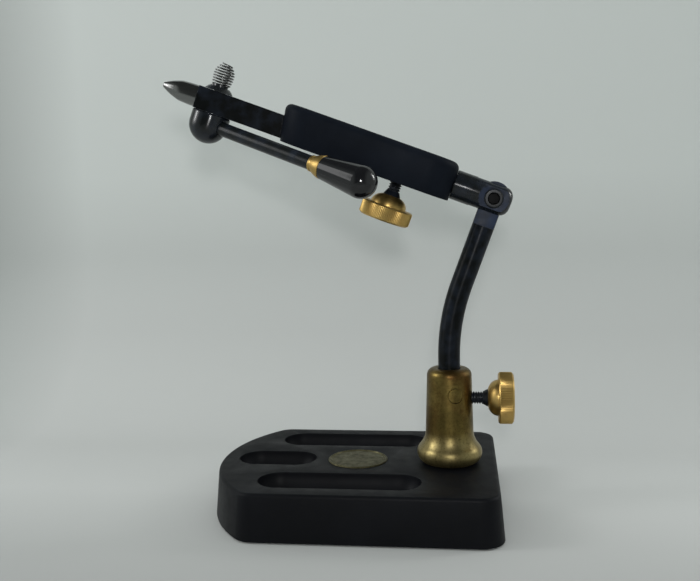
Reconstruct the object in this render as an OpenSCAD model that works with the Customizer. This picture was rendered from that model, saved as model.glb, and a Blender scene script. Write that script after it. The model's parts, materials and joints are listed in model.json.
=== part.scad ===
// Rotary fly tying vise on a heavy base. Millimetres and degrees.
// The jaws point towards -X, the viewer stands at -Y and +Z is up. The origin is the middle of the underside.

/* [Base] */
// Length of the base along its top edges
base_l = 122.2; // [100:0.1:150]
// Width of the base along its top edges
base_w = 95.4; // [80:0.1:120]
// Height of the top face above the bench
base_top = 20.1; // [16:0.1:26]
// How far the rounded left end bulges
end_bulge = 19.5; // [8:0.1:30]
// Corner radius at the right end
right_corner_r = 8; // [3:0.1:15]
// Corner radius at the left end
left_corner_r = 8; // [1:0.1:12]
// How far the sides lean out towards the underside
draft = 1.8; // [0:0.1:4]
// Rounding of the top edge
base_edge = 1.4; // [0.5:0.1:3]
// Thickness of the non-slip pad
pad_t = 1.6; // [1:0.1:3]
// How far the pad stands out below the casting
pad_proud = 0.6; // [0.2:0.1:0.9]
// Distance of the pad's edge from the casting's edge
pad_inset = 3; // [1.5:0.1:8]

/* [Troughs and medallion] */
// Radius of the ball-milled troughs
trough_r = 9.7; // [6:0.1:12]
// Length of the middle trough
mid_trough_l = 35; // [25:0.1:38]
// Left end of the middle trough from the base's left end
mid_trough_start = 7.4; // [4:0.1:12]
// Length of the two side troughs
side_trough_l = 68.5; // [40:0.1:72]
// Left end of the side troughs from the base's left end
side_trough_start = 22.2; // [15:0.1:30]
// Distance of the side troughs' middle lines from the middle of the base
side_trough_y = 29.7; // [24:0.1:34]
// Radius of the medallion
medallion_r = 13.2; // [9:0.1:14]
// Depth of the medallion's recess
medallion_depth = 0.8; // [0.4:0.1:2]
// Thickness of the medallion's plate
medallion_t = 1.1; // [0.8:0.1:2.5]
// Height and width of the medallion's rim
medallion_rim = [0.2, 1.1];

/* [Column] */
// Distance of the column's axis from the base's right end
column_in = 20.4; // [18:0.1:40]
// Height of the column's top above the bench
column_top = 61.9; // [50:0.1:80]
// Radius of the bead round the column's foot
bead_r = 4.6; // [3:0.1:6]
// Distance of the bead's middle from the column's axis
bead_out = 9.6; // [8:0.1:12]
// Radius of the hollow curve above the bead
flare_r = 10.2; // [6:0.1:16]
// Radius of the column where the hollow curve ends
column_low_r = 10.4; // [8.5:0.1:12]
// Radius of the column at its top
column_high_r = 9.7; // [8:0.1:11]
// Rounding of the column's top edge
column_edge = 3; // [0.5:0.1:4]
// Thickness of the floor under the stem's bore
column_floor = 7.9; // [5:0.1:10]

/* [Clamp screws] */
// Height of the column's clamp screw above the bench
clamp_z = 48.7; // [40:0.1:55]
// Radius of both clamp screws' threads
stud_r = 2.75; // [2:0.05:4]
// Pitch of the clamp screws' threads, which also sets the chamfer at their ends
thread_pitch = 1.058; // [0.7:0.001:1.5]
// Radius of a knob's knurled rim
knob_r = 11.2; // [8:0.1:14]
// Width of a knob's knurled rim
knob_rim = 6.4; // [4:0.1:10]
// Length of a knob's rounded hub
knob_hub = 4.6; // [2:0.1:8]
// Radius where the hub starts
hub_small_r = 3.9; // [3.4:0.1:5]
// Radius where the hub meets the rim
hub_large_r = 7.9; // [6:0.1:10]
// Radius of the hub's curve
hub_curve_r = 5; // [4:0.1:12]
// Radius and length of the flared collar where a stud meets its knob
stud_collar = [3.8, 2.1];
// Chamfer of a knob's rim
knob_chamfer = 0.8; // [0.3:0.1:1.5]
// Distance from the stem's axis to the column's knob
column_knob_at = 16.6; // [13:0.1:22]
// Distance from the head's axis to the head's knob
head_knob_at = 13.4; // [10:0.05:18]
// Radius of the clamp tips
tip_r = 2.2; // [1.5:0.1:2.6]
// Length of the column's clamp tip
column_tip_l = 2; // [1:0.1:3]
// Length of the head's lock tip
head_tip_l = 1.1; // [0.6:0.1:1.4]
// Radius and length of the pin between a tip and its screw
tip_pin = [1.2, 2.5];

/* [Stem] */
// Radius of the stem, a 3/8 inch rod
stem_r = 4.7625; // [4:0.0005:6]
// Height of the stem's lower end above the bench
stem_low = 35.4; // [33:0.1:42]
// Height at which the bend begins
bend_z = 67.2; // [67:0.1:80]
// Radius of the bend
bend_r = 90; // [60:1:120]
// Angle of the bend
bend_a = 20.3; // [0:0.1:35]
// How much thinner the rod is round its bend, on its radius
bend_thin = 0.03; // [0.02:0.01:0.1]
// Length of the straight stretch from the bend to the pivot
straight_l = 38.9; // [30:0.1:60]
// Thickness of the tang at the stem's top
tang_t = 3.2; // [2:0.1:4]
// Radius of the tang's rounded top
tang_end_r = 7.2; // [6:0.1:8]
// Distance from the pivot down to the tang's shoulder
shoulder = 12.4; // [11:0.1:16]
// Thickness of the nylon pad under the stem
stem_pad_t = 1.95; // [1:0.05:4]

/* [Head] */
// Lift of the head above level at rest
head_lift = 20.7; // [0:0.1:45]
// Radius of the fork
fork_r = 6.35; // [5.5:0.05:8]
// Length of the fork behind the pivot
fork_back = 7.6; // [7.5:0.1:12]
// Rounding of the fork's rear end
fork_round = 4; // [1:0.1:5]
// Distance from the pivot to the fork's front shoulder
fork_front = 17.5; // [15:0.1:24]
// Distance from the fork's middle plane to its flats
fork_flat = 4.4; // [3.5:0.1:5.5]
// Depth of the fork's slot in front of the pivot
slot_front = 9; // [8.8:0.1:11]
// Radius of the shaft that the block turns on
shaft_r = 3.97; // [3.3:0.01:5]
// Distance from the pivot to the shaft's end
shaft_end = 60; // [52:0.1:66]
// Distance from the pivot to the lock screw and its groove
lock_s = 41; // [34:0.1:46]
// Width and depth of the lock groove
groove = [5.4, 0.5];
// Length of the block along its underside
block_l = 75.9; // [60:0.1:90]
// Forward lean of the block's front end
front_lean = 9; // [0:0.5:12]
// Width of the block
block_w = 31.75; // [28:0.05:40]
// Underside of the block below the shaft's axis
block_below = 7.4; // [6.5:0.1:9]
// Top of the block above the shaft's axis
block_above = 8.9; // [7.5:0.1:12]
// Radius of the block's upright corners
block_corner_r = 12.7; // [6:0.1:14]
// Rounding of the block's top edge
block_edge = 3.2; // [1:0.1:4]

/* [Pivot screw] */
// Radius of the pivot screw's shank
pivot_r = 2.415; // [2:0.005:3]
// Radius and height of the pivot screw's head
pivot_head = [3.96, 3];
// Depth of the seat that the screw's head sinks into
pivot_seat = 1.2; // [0.5:0.1:2]

/* [Jaws] */
// Width of the two jaws together
jaw_w = 9.52; // [8:0.01:12]
// Height of the jaws
jaw_h = 9.7; // [8:0.1:12]
// Middle of the jaws below the shaft's axis
jaw_drop = 1.5; // [0:0.1:2]
// Distance from the pivot to the jaws' round nose
nose_s = 134.4; // [132:0.1:145]
// Length of the nose's barrel
nose_barrel = 8.4; // [4:0.1:10]
// Radius where the nose's cone begins
nose_cone_r = 4.4; // [3.5:0.1:4.7]
// Length of the nose's cone
nose_cone = 8.2; // [6:0.1:12]
// How far the nose's cone bulges
nose_bulge = 0.3; // [0:0.05:0.8]
// Radius of the jaws' tip
jaw_tip_r = 1.3; // [0.8:0.1:2]
// Gap between the jaws behind the nose
jaw_relief = 1; // [0.4:0.1:2]
// Length of the jaws' heels inside the block
heel_l = 19.8; // [17:0.1:21]
// Height of the jaws' heels
heel_h = 7.5; // [6:0.1:8]
// Width of each jaw's heel
heel_w = 3.9; // [3.6:0.1:4]
// Distance from the block's lower front edge to the jaws' dowels
dowel_in = 5.4; // [4.6:0.1:8]
// Radius of the dowels
dowel_r = 1.25; // [1:0.05:1.3]
// Distance of the dowels from the middle plane
dowel_y = 2.45; // [2.3:0.05:2.6]
// Distance from the heels' rear ends to the heel spring
heel_spring_in = 3.8; // [3:0.1:6]

/* [Cam and lever] */
// Distance from the pivot to the cam's axis
cam_s = 126.8; // [120:0.1:130]
// Half the cam's thickness with the jaws closed
cam_half = 1.8; // [1.5:0.1:2.5]
// How far the cam moves each jaw
cam_lift = 0.8; // [0.3:0.1:1]
// Swing of the lever from closed to open
lever_swing = 80; // [60:1:90]
// Angle of the closed lever from the head's middle plane
lever_a = 25; // [20:1:60]
// Radius of the knuckle under the jaws
knuckle_r = 8.4; // [7:0.1:10]
// Distance from the shaft's axis down to the lever
lever_drop = 11.2; // [10:0.1:14]
// Radius of the cap over the jaws
cap_r = 6.2; // [4:0.1:7]
// Radius of the cap's dome
cap_dome_r = 7.5; // [6.6:0.1:12]
// Height of the seat on the cap
cap_t = 2; // [1.5:0.05:3]
// Radius of the lever's rod
lever_rod_r = 3; // [2:0.1:4]
// Distance from the cam's axis to the ferrule
ferrule_at = 57.8; // [40:0.1:65]
// Length of the ferrule
ferrule_l = 6.3; // [4:0.1:12]
// Radii of the ferrule's ends
ferrule_r = [3.4, 4.9];
// Distance from the ferrule to the middle of the handle's ball end
handle_l = 18.5; // [12:0.1:30]
// Radius of the handle's ball end
handle_r = 6.7; // [5:0.1:9]

/* [Springs] */
// Wire diameter of the material spring
spring_wire = 0.6; // [0.4:0.05:0.8]
// Height of the material spring
spring_h = 10.85; // [8:0.05:16]
// Curls of the material spring
spring_curls = 8; // [5:1:9]
// Radii of the wire's middle line at the spring's foot, belly and top
spring_r = [3.75, 4.3, 1.9];
// Height of the belly as a share of the spring
belly_share = 0.5; // [0.3:0.05:0.7]
// Wire diameter of the heel spring
heel_wire = 0.5; // [0.3:0.05:0.6]
// Curls of the heel spring
heel_curls = 4; // [3:1:4]
// Radius of the heel spring's middle line
heel_spring_r = 1.5; // [1.2:0.05:1.6]

/* [Fits] */
// Clearance of a pin or shaft in its bore
run_fit = 0.05; // [0.01:0.01:0.1]
// Clearance between faces that pass each other
pass_gap = 0.1; // [0.1:0.05:0.3]
// Clearance between pieces that only stand side by side
part_gap = 0.3; // [0.3:0.05:0.5]

/* [Hidden] */
$fn = 96;

// Overrun of every cut, and the thickness of a level in a rounded block
over = 2;
level_t = 0.2;
// Colours
black = [0.07, 0.075, 0.08];
gloss_black = [0.05, 0.06, 0.08];
aged_brass = [0.55, 0.42, 0.22];
bright_brass = [0.72, 0.57, 0.31];
steel = [0.66, 0.66, 0.65];
nylon = [0.85, 0.84, 0.80];
pad_grey = [0.16, 0.16, 0.16];

// Base
foot_z = pad_proud;
edge_steps = 6;
corner_steps = 12;
end_steps = 32;
end_r = (pow(base_w / 2, 2) + pow(end_bulge, 2)) / (2 * end_bulge);
end_x = end_r - base_l / 2;
left_corner_y = base_w / 2 - left_corner_r;
left_corner_x = end_x - sqrt(pow(end_r - left_corner_r, 2) - pow(left_corner_y, 2));
left_corner_a = atan2(left_corner_y, left_corner_x - end_x);
draft_a = atan(draft / (base_top - foot_z));
edge_z = base_top - base_edge;
edge_grow = draft - (base_edge + (edge_z - foot_z) * sin(draft_a)) / cos(draft_a);
foot_chamfer = pad_proud;

// Column
column_x = base_l / 2 - column_in;
bead_z = base_top + bead_r - pass_gap;
flare_x = column_low_r + flare_r;
flare_z = bead_z + sqrt(pow(bead_r + flare_r, 2) - pow(flare_x - bead_out, 2));
bead_share = bead_r / (bead_r + flare_r);
bead_meet = [bead_out + (flare_x - bead_out) * bead_share, bead_z + (flare_z - bead_z) * bead_share];
bore_z = base_top + column_floor;
mouth_chamfer = 0.5;

// Column screw, an M6 cap screw
screw_r = 3;
screw_head_r = 5;
screw_head_h = 6;
screw_l = 20;
screw_hex = 5;
screw_seat = bore_z - screw_l - pass_gap;
hex_sides = 6;
hex_depth_share = 0.55;

// Clamp screws
groove_r = shaft_r - groove[1];
stud_in_share = 0.75;
stud_in = (knob_hub + knob_rim) * stud_in_share;
hub_chord = [knob_hub, hub_large_r - hub_small_r];
hub_half = norm(hub_chord) / 2;
hub_back = sqrt(pow(hub_curve_r, 2) - pow(hub_half, 2));
hub_mid = [(hub_small_r + hub_large_r) / 2, knob_hub / 2];
hub_centre = hub_mid + hub_back / (2 * hub_half) * [-hub_chord[0], hub_chord[1]];
knob_face_r = 4.2;
knob_face_depth = 0.6;

// Stem and pivot
pivot_x = column_x + bend_r * (1 - cos(bend_a)) + straight_l * sin(bend_a);
pivot_z = bend_z + bend_r * sin(bend_a) + straight_l * cos(bend_a);
stem_pad_z = stem_low - stem_pad_t - run_fit;
stem_pad_pin = [2, 4];
stem_chamfer = 0.6;
bend_lap = 0.6;
slot_half = tang_t / 2 + pass_gap;
pivot_hex = 4;
fork_spot_r = fork_r + run_fit;
shaft_chamfer = 0.6;

// Block and jaws
block_s = fork_front + part_gap;
block_front = block_s + block_l;
bore_play = 1;
jaw_low = -jaw_drop - jaw_h / 2;
jaw_high = -jaw_drop + jaw_h / 2;
bar_gap = part_gap / cos(front_lean);
bar_s = block_front_at(jaw_high) + bar_gap;
heel_s = bar_s - heel_l - part_gap;
heel_y = jaw_relief / 2;
heel_low = -jaw_drop - heel_h / 2;
heel_high = -jaw_drop + heel_h / 2;
cavity_s = heel_s - part_gap * 2;
cavity_y = heel_y + heel_w + part_gap + pass_gap;
dowel_s = block_front - dowel_in;
dowel_low = -block_below + pass_gap;
dowel_over = 2.5;
dowel_high = heel_high + dowel_over;
nose_r = jaw_w / 2;
nose_steps = 6;
nose_root = 1.5;
tip_s = nose_s + nose_barrel + nose_cone;
tip_round = 0.4;
heel_spring_s = heel_s + heel_spring_in;
heel_pocket_y = 2.7;
heel_pocket_r = 2;

// Cam and lever
cam_slope = cam_lift / (lever_swing * PI / 180);
cam_steps = 12;
cam_slot = 3;
cam_journal_r = 1.6;
cam_foot_r = 2.6;
cam_low = jaw_low - pass_gap;
cam_high = jaw_high + pass_gap;
cam_foot_drop = 2.1;
cam_foot = -lever_drop - cam_foot_drop;
knuckle_edge = 0.8;
cap_dome_z = -sqrt(pow(cap_dome_r, 2) - pow(cap_r, 2));
spigot = [3.3, 1.1];
lever_root_gap = 0.9;
lever_root = cam_foot_r + lever_root_gap;
rod_in_handle = 8;
handle_far = ferrule_at + ferrule_l;
handle_slope = atan2(-handle_l, ferrule_r[1]) + acos(handle_r / norm([ferrule_r[1], handle_l]));

// Springs
curl_rings = 8;
wire_sides = 6;

function arc(centre, r, from, to, steps) = [for (i = [0 : steps])
    let (a = from + (to - from) * i / steps)
    centre + r * [cos(a), sin(a)]];

// Outline of the base, grown by a width all round
function outline(grow) =
    let (right_x = base_l / 2 - right_corner_r, right_y = base_w / 2 - right_corner_r) concat(
    arc([right_x, right_y], right_corner_r + grow, 0, 90, corner_steps),
    arc([left_corner_x, left_corner_y], left_corner_r + grow, 90, left_corner_a, corner_steps),
    arc([end_x, 0], end_r + grow, left_corner_a, 360 - left_corner_a, end_steps),
    arc([left_corner_x, -left_corner_y], left_corner_r + grow, 360 - left_corner_a, 270, corner_steps),
    arc([right_x, -right_y], right_corner_r + grow, 270, 360, corner_steps));

// Outline of the block at a height above the shaft's axis, grown by a width all round
function block_front_at(h) = block_front + (h + block_below) * tan(front_lean);
function block_outline(h, grow) = [for (corner = [0 : 3])
    let (x = corner % 3 == 0 ? -block_s - block_corner_r : block_corner_r - block_front_at(h),
        side = corner < 2 ? 1 : -1)
    each arc([x, side * (block_w / 2 - block_corner_r)], block_corner_r + grow, 90 * corner, 90 * corner + 90,
        corner_steps)];

// The cam's edge where it faces a jaw, as the angle across it goes from closed to open
function cam_edge(from) = [for (i = [0 : cam_steps])
    let (a = lever_swing * i / cam_steps, half = cam_half + cam_lift * i / cam_steps)
    [half * cos(from + a) - cam_slope * sin(from + a), half * sin(from + a) + cam_slope * cos(from + a)]];

// Wire of a spring: its middle line runs up from a face, winds, and may run square to a face at its top
function coil_r(share, radii) = share < belly_share
    ? radii[0] + (radii[1] - radii[0]) * sin(90 * share / belly_share)
    : radii[2] + (radii[1] - radii[2]) * cos(90 * (share - belly_share) / (1 - belly_share));
function coil_point(share, curls, radii, low, high) =
    [coil_r(share, radii) * cos(360 * curls * share), coil_r(share, radii) * sin(360 * curls * share),
     low + (high - low) * share];
function coil_line(curls, radii, length, wire, seated_top) =
    let (low = wire * 1.5, high = length - (seated_top ? wire * 1.5 : wire / 2), rings = curls * curl_rings)
    concat([[radii[0], 0, 0], [radii[0], 0, wire]],
        [for (i = [0 : rings]) coil_point(i / rings, curls, radii, low, high)],
        seated_top ? [[radii[2], 0, length - wire], [radii[2], 0, length]] : []);
function unit(v) = v / norm(v);
function flat_dir(p) = unit([p[0], p[1], 0]);
function way(line, i) = unit(line[min(i + 1, len(line) - 1)] - line[max(i - 1, 0)]);
function ring_side(line, i) = unit(flat_dir(line[i]) - (flat_dir(line[i]) * way(line, i)) * way(line, i));
function ring(line, i, wire) = [for (k = [0 : wire_sides - 1])
    line[i] + wire / 2 * (cos(360 * k / wire_sides) * ring_side(line, i)
        + sin(360 * k / wire_sides) * cross(way(line, i), ring_side(line, i)))];
function least_gap(line, wire) = min([for (i = [0 : len(line) - 1])
    for (j = [i + curl_rings - 2 : 1 : len(line) - 1]) norm(line[j] - line[i]) - wire]);

// Places
module at_column(z) translate([column_x, 0, z]) children();
module at_pivot() translate([pivot_x, 0, pivot_z]) rotate([0, head_lift, 0]) children();
module at_stem_top() translate([pivot_x, 0, pivot_z]) rotate([0, bend_a, 0]) children();
module at_cam() at_pivot() translate([-cam_s, 0, 0]) children();
module forward(s) translate([-s, 0, 0]) rotate([0, -90, 0]) children();
module down_from_head() at_pivot() translate([-lock_s, 0, 0]) rotate([180, 0, 0]) children();
module out_from_column() at_column(clamp_z) rotate([0, 90, 0]) children();
module along_lever() at_cam() translate([0, 0, -lever_drop]) rotate([0, 0, -lever_a]) rotate([0, 90, 0])
    children();

// A block in the head's own directions: s forward from the pivot, y across, h up
module span(s, y, h) translate([-s[1], y[0], h[0]]) cube([s[1] - s[0], y[1] - y[0], h[1] - h[0]]);

module slab(points, z, height = level_t) translate([0, 0, z]) linear_extrude(height = height) polygon(points);

module trough(start, length, y) {
    near = start - base_l / 2 + trough_r;
    run = length - 2 * trough_r;
    translate([near, y, base_top]) rotate([0, 90, 0]) cylinder(r = trough_r, h = run);
    translate([near, y, base_top]) sphere(r = trough_r);
    translate([near + run, y, base_top]) sphere(r = trough_r);
}

module base_casting() color(black) difference() {
    hull() {
        slab(outline(draft - foot_chamfer), foot_z);
        slab(outline(draft), foot_z + foot_chamfer);
        for (i = [0 : edge_steps]) {
            a = draft_a + (90 - draft_a) * i / edge_steps;
            slab(outline(edge_grow + base_edge * cos(a)), edge_z + base_edge * sin(a) - level_t);
        }
    }
    slab(outline(draft - pad_inset + pass_gap), -over, pad_t + over);
    trough(mid_trough_start, mid_trough_l, 0);
    for (side = [-1, 1]) trough(side_trough_start, side_trough_l, side * side_trough_y);
    translate([0, 0, base_top - medallion_depth])
        cylinder(r = medallion_r + run_fit, h = medallion_depth + over);
    at_column(0) cylinder(r = screw_r + pass_gap, h = base_top + over);
    at_column(0) cylinder(r = screw_head_r + part_gap, h = screw_seat);
}

module base_pad() color(pad_grey) slab(outline(draft - pad_inset), 0, pad_t);

module base_medallion() color(aged_brass) translate([0, 0, base_top - medallion_depth]) rotate_extrude()
    polygon([
        [0, 0],
        [medallion_r, 0],
        [medallion_r, medallion_t],
        [medallion_r - medallion_rim[0], medallion_t + medallion_rim[0]],
        [medallion_r - medallion_rim[1], medallion_t + medallion_rim[0]],
        [medallion_r - medallion_rim[1] - medallion_rim[0], medallion_t],
        [0, medallion_t]]);

// A socket head cap screw: its head lies below z = 0 and its shank above
module cap_screw(head_r, head_h, shank_r, shank_l, hex) {
    difference() {
        translate([0, 0, -head_h]) cylinder(r = head_r, h = head_h);
        translate([0, 0, -head_h - over])
            cylinder(r = hex / 2 / cos(180 / hex_sides), h = head_h * hex_depth_share + over,
                $fn = hex_sides);
    }
    cylinder(r = shank_r, h = shank_l);
}

module column_screw() color(steel) at_column(screw_seat)
    cap_screw(screw_head_r, screw_head_h, screw_r, screw_l, screw_hex);

module column_profile() {
    translate([0, base_top]) intersection() {
        translate([bead_out, bead_z - base_top]) circle(r = bead_r);
        square([bead_out + bead_r, bead_r * 2]);
    }
    difference() {
        polygon([
            [0, base_top],
            [bead_out, base_top],
            bead_meet,
            [column_low_r, flare_z],
            [column_high_r, column_top - column_edge],
            [column_high_r - column_edge, column_top],
            [0, column_top]]);
        translate([flare_x, flare_z]) circle(r = flare_r);
    }
    translate([column_high_r - column_edge, column_top - column_edge]) circle(r = column_edge);
}

module stem_column() color(aged_brass) at_column(0) difference() {
    rotate_extrude() column_profile();
    translate([0, 0, bore_z]) cylinder(r = stem_r + run_fit, h = column_top);
    translate([0, 0, column_top - mouth_chamfer])
        cylinder(r1 = stem_r + run_fit, r2 = stem_r + run_fit + mouth_chamfer, h = mouth_chamfer);
    cylinder(r = screw_r + run_fit, h = bore_z + over);
    translate([0, 0, clamp_z]) rotate([0, 90, 0]) cylinder(r = stud_r + run_fit, h = column_low_r + over);
}

// The pieces of a clamp screw, along z from the axis of the rod that it presses on
module clamp_tip(start, length) {
    translate([0, 0, start]) cylinder(r = tip_r, h = length);
    translate([0, 0, start + length]) cylinder(r = tip_pin[0], h = tip_pin[1]);
}

module clamp_stud(start, knob_at) translate([0, 0, start]) difference() {
    union() {
        cylinder(r1 = stud_r - thread_pitch / 2, r2 = stud_r, h = thread_pitch / 2);
        translate([0, 0, thread_pitch / 2])
            cylinder(r = stud_r, h = knob_at + stud_in - start - thread_pitch / 2);
        translate([0, 0, knob_at - start - stud_collar[1]])
            cylinder(r1 = stud_r, r2 = stud_collar[0], h = stud_collar[1]);
    }
    translate([0, 0, -over]) cylinder(r = tip_pin[0] + run_fit, h = tip_pin[1] + pass_gap + over);
}

module knob_profile() {
    intersection() {
        translate(hub_centre) circle(r = hub_curve_r);
        square([hub_large_r, knob_hub]);
    }
    translate([0, knob_hub]) polygon([
        [0, 0],
        [knob_r - knob_chamfer, 0],
        [knob_r, knob_chamfer],
        [knob_r, knob_rim - knob_chamfer],
        [knob_r - knob_chamfer, knob_rim],
        [knob_face_r, knob_rim],
        [knob_face_r - knob_face_depth, knob_rim - knob_face_depth],
        [0, knob_rim - knob_face_depth]]);
}

module thumb_knob(knob_at) translate([0, 0, knob_at]) difference() {
    rotate_extrude() knob_profile();
    translate([0, 0, -over]) cylinder(r = stud_r, h = stud_in + over);
}

module column_clamp_tip() color(bright_brass) out_from_column() clamp_tip(stem_r + run_fit, column_tip_l);
module column_clamp_stud() color(black) out_from_column()
    clamp_stud(stem_r + column_tip_l + 2 * run_fit, column_knob_at);
module column_clamp_knob() color(bright_brass) out_from_column() thumb_knob(column_knob_at);

module head_lock_tip() color(bright_brass) down_from_head() clamp_tip(groove_r + run_fit, head_tip_l);
module head_lock_stud() color(black) down_from_head()
    clamp_stud(groove_r + head_tip_l + 2 * run_fit, head_knob_at);
module head_lock_knob() color(bright_brass) down_from_head() thumb_knob(head_knob_at);

module stem_end_pad() color(nylon) at_column(stem_pad_z) {
    cylinder(r = stem_r, h = stem_pad_t);
    translate([0, 0, stem_pad_t]) cylinder(r = stem_pad_pin[0], h = stem_pad_pin[1]);
}

module stem_rod() {
    at_column(stem_low) cylinder(r1 = stem_r - stem_chamfer, r2 = stem_r, h = stem_chamfer);
    at_column(stem_low + stem_chamfer) cylinder(r = stem_r, h = bend_z - stem_low - stem_chamfer);
    translate([column_x + bend_r, 0, bend_z]) rotate([90, 0, 0]) rotate([0, 0, 180 - bend_a - bend_lap])
        rotate_extrude(angle = bend_a + bend_lap * 2) translate([bend_r, 0]) circle(r = stem_r - bend_thin);
    at_stem_top() translate([0, 0, -straight_l]) cylinder(r = stem_r, h = straight_l - shoulder);
}

module tang() intersection() {
    translate([0, 0, -shoulder]) cylinder(r = stem_r, h = shoulder + tang_end_r);
    rotate([90, 0, 0]) translate([0, 0, -tang_t / 2]) linear_extrude(height = tang_t) {
        circle(r = tang_end_r);
        translate([-stem_r, -shoulder]) square([stem_r * 2, shoulder]);
    }
}

module stem() color(black) difference() {
    union() {
        stem_rod();
        at_stem_top() tang();
    }
    at_stem_top() rotate([90, 0, 0]) translate([0, 0, -over]) cylinder(r = pivot_r + run_fit, h = over * 2);
    at_column(stem_low - over) cylinder(r = stem_pad_pin[0] + run_fit, h = stem_pad_pin[1] + pass_gap + over);
}

module fork_profile() {
    intersection() {
        translate([fork_r - fork_round, fork_round]) circle(r = fork_round);
        square([fork_r, fork_back]);
    }
    square([fork_r - fork_round, fork_round]);
    translate([0, fork_round]) square([fork_r, fork_back + fork_front - fork_round]);
    translate([0, fork_back]) polygon([
        [0, 0],
        [shaft_r, 0],
        [shaft_r, lock_s - groove[0] / 2],
        [groove_r, lock_s - groove[0] / 2],
        [groove_r, lock_s + groove[0] / 2],
        [shaft_r, lock_s + groove[0] / 2],
        [shaft_r, shaft_end - shaft_chamfer],
        [shaft_r - shaft_chamfer, shaft_end],
        [0, shaft_end]]);
}

module pivot_fork() color(gloss_black) at_pivot() difference() {
    forward(-fork_back) rotate_extrude() fork_profile();
    for (side = [-1, 1]) rotate([side * 90, 0, 0]) translate([0, 0, fork_flat])
        cylinder(r = fork_spot_r, h = fork_r);
    span([-fork_back - over, slot_front], [-slot_half, slot_half], [-fork_r - over, fork_r + over]);
    rotate([-90, 0, 0]) cylinder(r = pivot_r, h = fork_r);
    rotate([90, 0, 0]) cylinder(r = pivot_r + pass_gap, h = fork_r);
    rotate([90, 0, 0]) translate([0, 0, fork_flat - pivot_seat])
        cylinder(r = pivot_head[0] + pass_gap, h = fork_r);
}

module pivot_screw() color(black) at_pivot() rotate([-90, 0, 0]) translate([0, 0, pivot_seat - fork_flat])
    cap_screw(pivot_head[0], pivot_head[1], pivot_r, fork_flat * 2 - pivot_seat - pass_gap * 2, pivot_hex);

module head_block() color(black) at_pivot() difference() {
    hull() {
        slab(block_outline(-block_below, 0), -block_below);
        for (i = [0 : edge_steps]) {
            a = 90 * i / edge_steps;
            h = block_above - block_edge * (1 - sin(a));
            slab(block_outline(h, block_edge * (cos(a) - 1)), h - level_t);
        }
    }
    forward(block_s - over) cylinder(r = shaft_r + run_fit, h = shaft_end + bore_play - block_s + over);
    translate([-lock_s, 0, -block_below - over]) cylinder(r = stud_r + run_fit, h = block_below + over);
    span([cavity_s, block_front + over], [-cavity_y, cavity_y], [heel_low - pass_gap, heel_high + pass_gap]);
    for (side = [-1, 1]) translate([-dowel_s, side * dowel_y, -block_below - over])
        cylinder(r = dowel_r, h = dowel_high + block_below + over);
}

module jaw_dowels() color(steel) at_pivot() for (side = [-1, 1])
    translate([-dowel_s, side * dowel_y, dowel_low]) cylinder(r = dowel_r, h = dowel_high - dowel_low);

module nose_profile() polygon(concat(
    [[0, 0]],
    [for (i = [0 : nose_steps]) let (share = i / nose_steps)
        [nose_r - (nose_r - nose_cone_r) * pow(share, 2), nose_barrel * share]],
    [for (i = [1 : nose_steps]) let (share = i / nose_steps)
        [nose_cone_r + (jaw_tip_r - nose_cone_r) * share + 4 * nose_bulge * share * (1 - share),
         nose_barrel + (nose_cone - tip_round) * share]],
    [[jaw_tip_r - tip_round, nose_barrel + nose_cone],
     [0, nose_barrel + nose_cone]]));

// The jaw on the far side of the middle plane
module jaw_half() difference() {
    union() {
        rotate([-90, 0, 0]) translate([0, 0, run_fit]) linear_extrude(height = nose_r - run_fit) polygon([
            [-nose_s, -jaw_low],
            [-nose_s, -jaw_high],
            [-bar_s, -jaw_high],
            [-block_front_at(jaw_low) - bar_gap, -jaw_low]]);
        span([heel_s, bar_s], [heel_y, heel_y + heel_w], [heel_low, heel_high]);
        intersection() {
            translate([0, 0, -jaw_drop]) forward(nose_s) rotate_extrude() nose_profile();
            span([nose_s, tip_s], [run_fit, nose_r], [jaw_low, jaw_high]);
        }
    }
    span([heel_s - over, nose_s - nose_root], [-over, heel_y], [jaw_low - over, jaw_high + over]);
    translate([-dowel_s, dowel_y, jaw_low - over]) cylinder(r = dowel_r + run_fit, h = jaw_h + over * 2);
    translate([-heel_spring_s, 0, -jaw_drop]) rotate([-90, 0, 0])
        cylinder(r = heel_pocket_r, h = heel_pocket_y);
    span([cam_s - cam_slot, cam_s + cam_slot], [-over, cam_half + run_fit],
        [jaw_low - over, jaw_high + over]);
}

module jaw_left() color(gloss_black) at_pivot() mirror([0, 1, 0]) jaw_half();
module jaw_right() color(gloss_black) at_pivot() jaw_half();

module cam_shaft() color(steel) at_cam() {
    translate([0, 0, cam_low]) linear_extrude(height = cam_high - cam_low)
        polygon(concat(cam_edge(90), cam_edge(270)));
    translate([0, 0, cam_high]) cylinder(r = cam_journal_r, h = cap_t + spigot[1]);
    translate([0, 0, cam_foot]) cylinder(r = cam_foot_r, h = cam_low - cam_foot);
}

module knuckle_profile() {
    top = cam_low + lever_drop;
    intersection() {
        circle(r = knuckle_r);
        translate([0, -knuckle_r]) square([knuckle_r, knuckle_r]);
    }
    square([knuckle_r, top - knuckle_edge]);
    square([knuckle_r - knuckle_edge, top]);
    translate([knuckle_r - knuckle_edge, top - knuckle_edge]) circle(r = knuckle_edge);
}

module cam_knuckle() color(gloss_black) difference() {
    at_cam() translate([0, 0, -lever_drop]) rotate_extrude() knuckle_profile();
    at_cam() translate([0, 0, cam_foot]) cylinder(r = cam_foot_r, h = knuckle_r * 2);
    along_lever() translate([0, 0, lever_root]) cylinder(r = lever_rod_r, h = knuckle_r);
}

module cap_profile() {
    intersection() {
        translate([0, cap_dome_z]) circle(r = cap_dome_r);
        square([cap_r, cap_t]);
    }
    square([spigot[0], cap_t + spigot[1]]);
}

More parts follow.
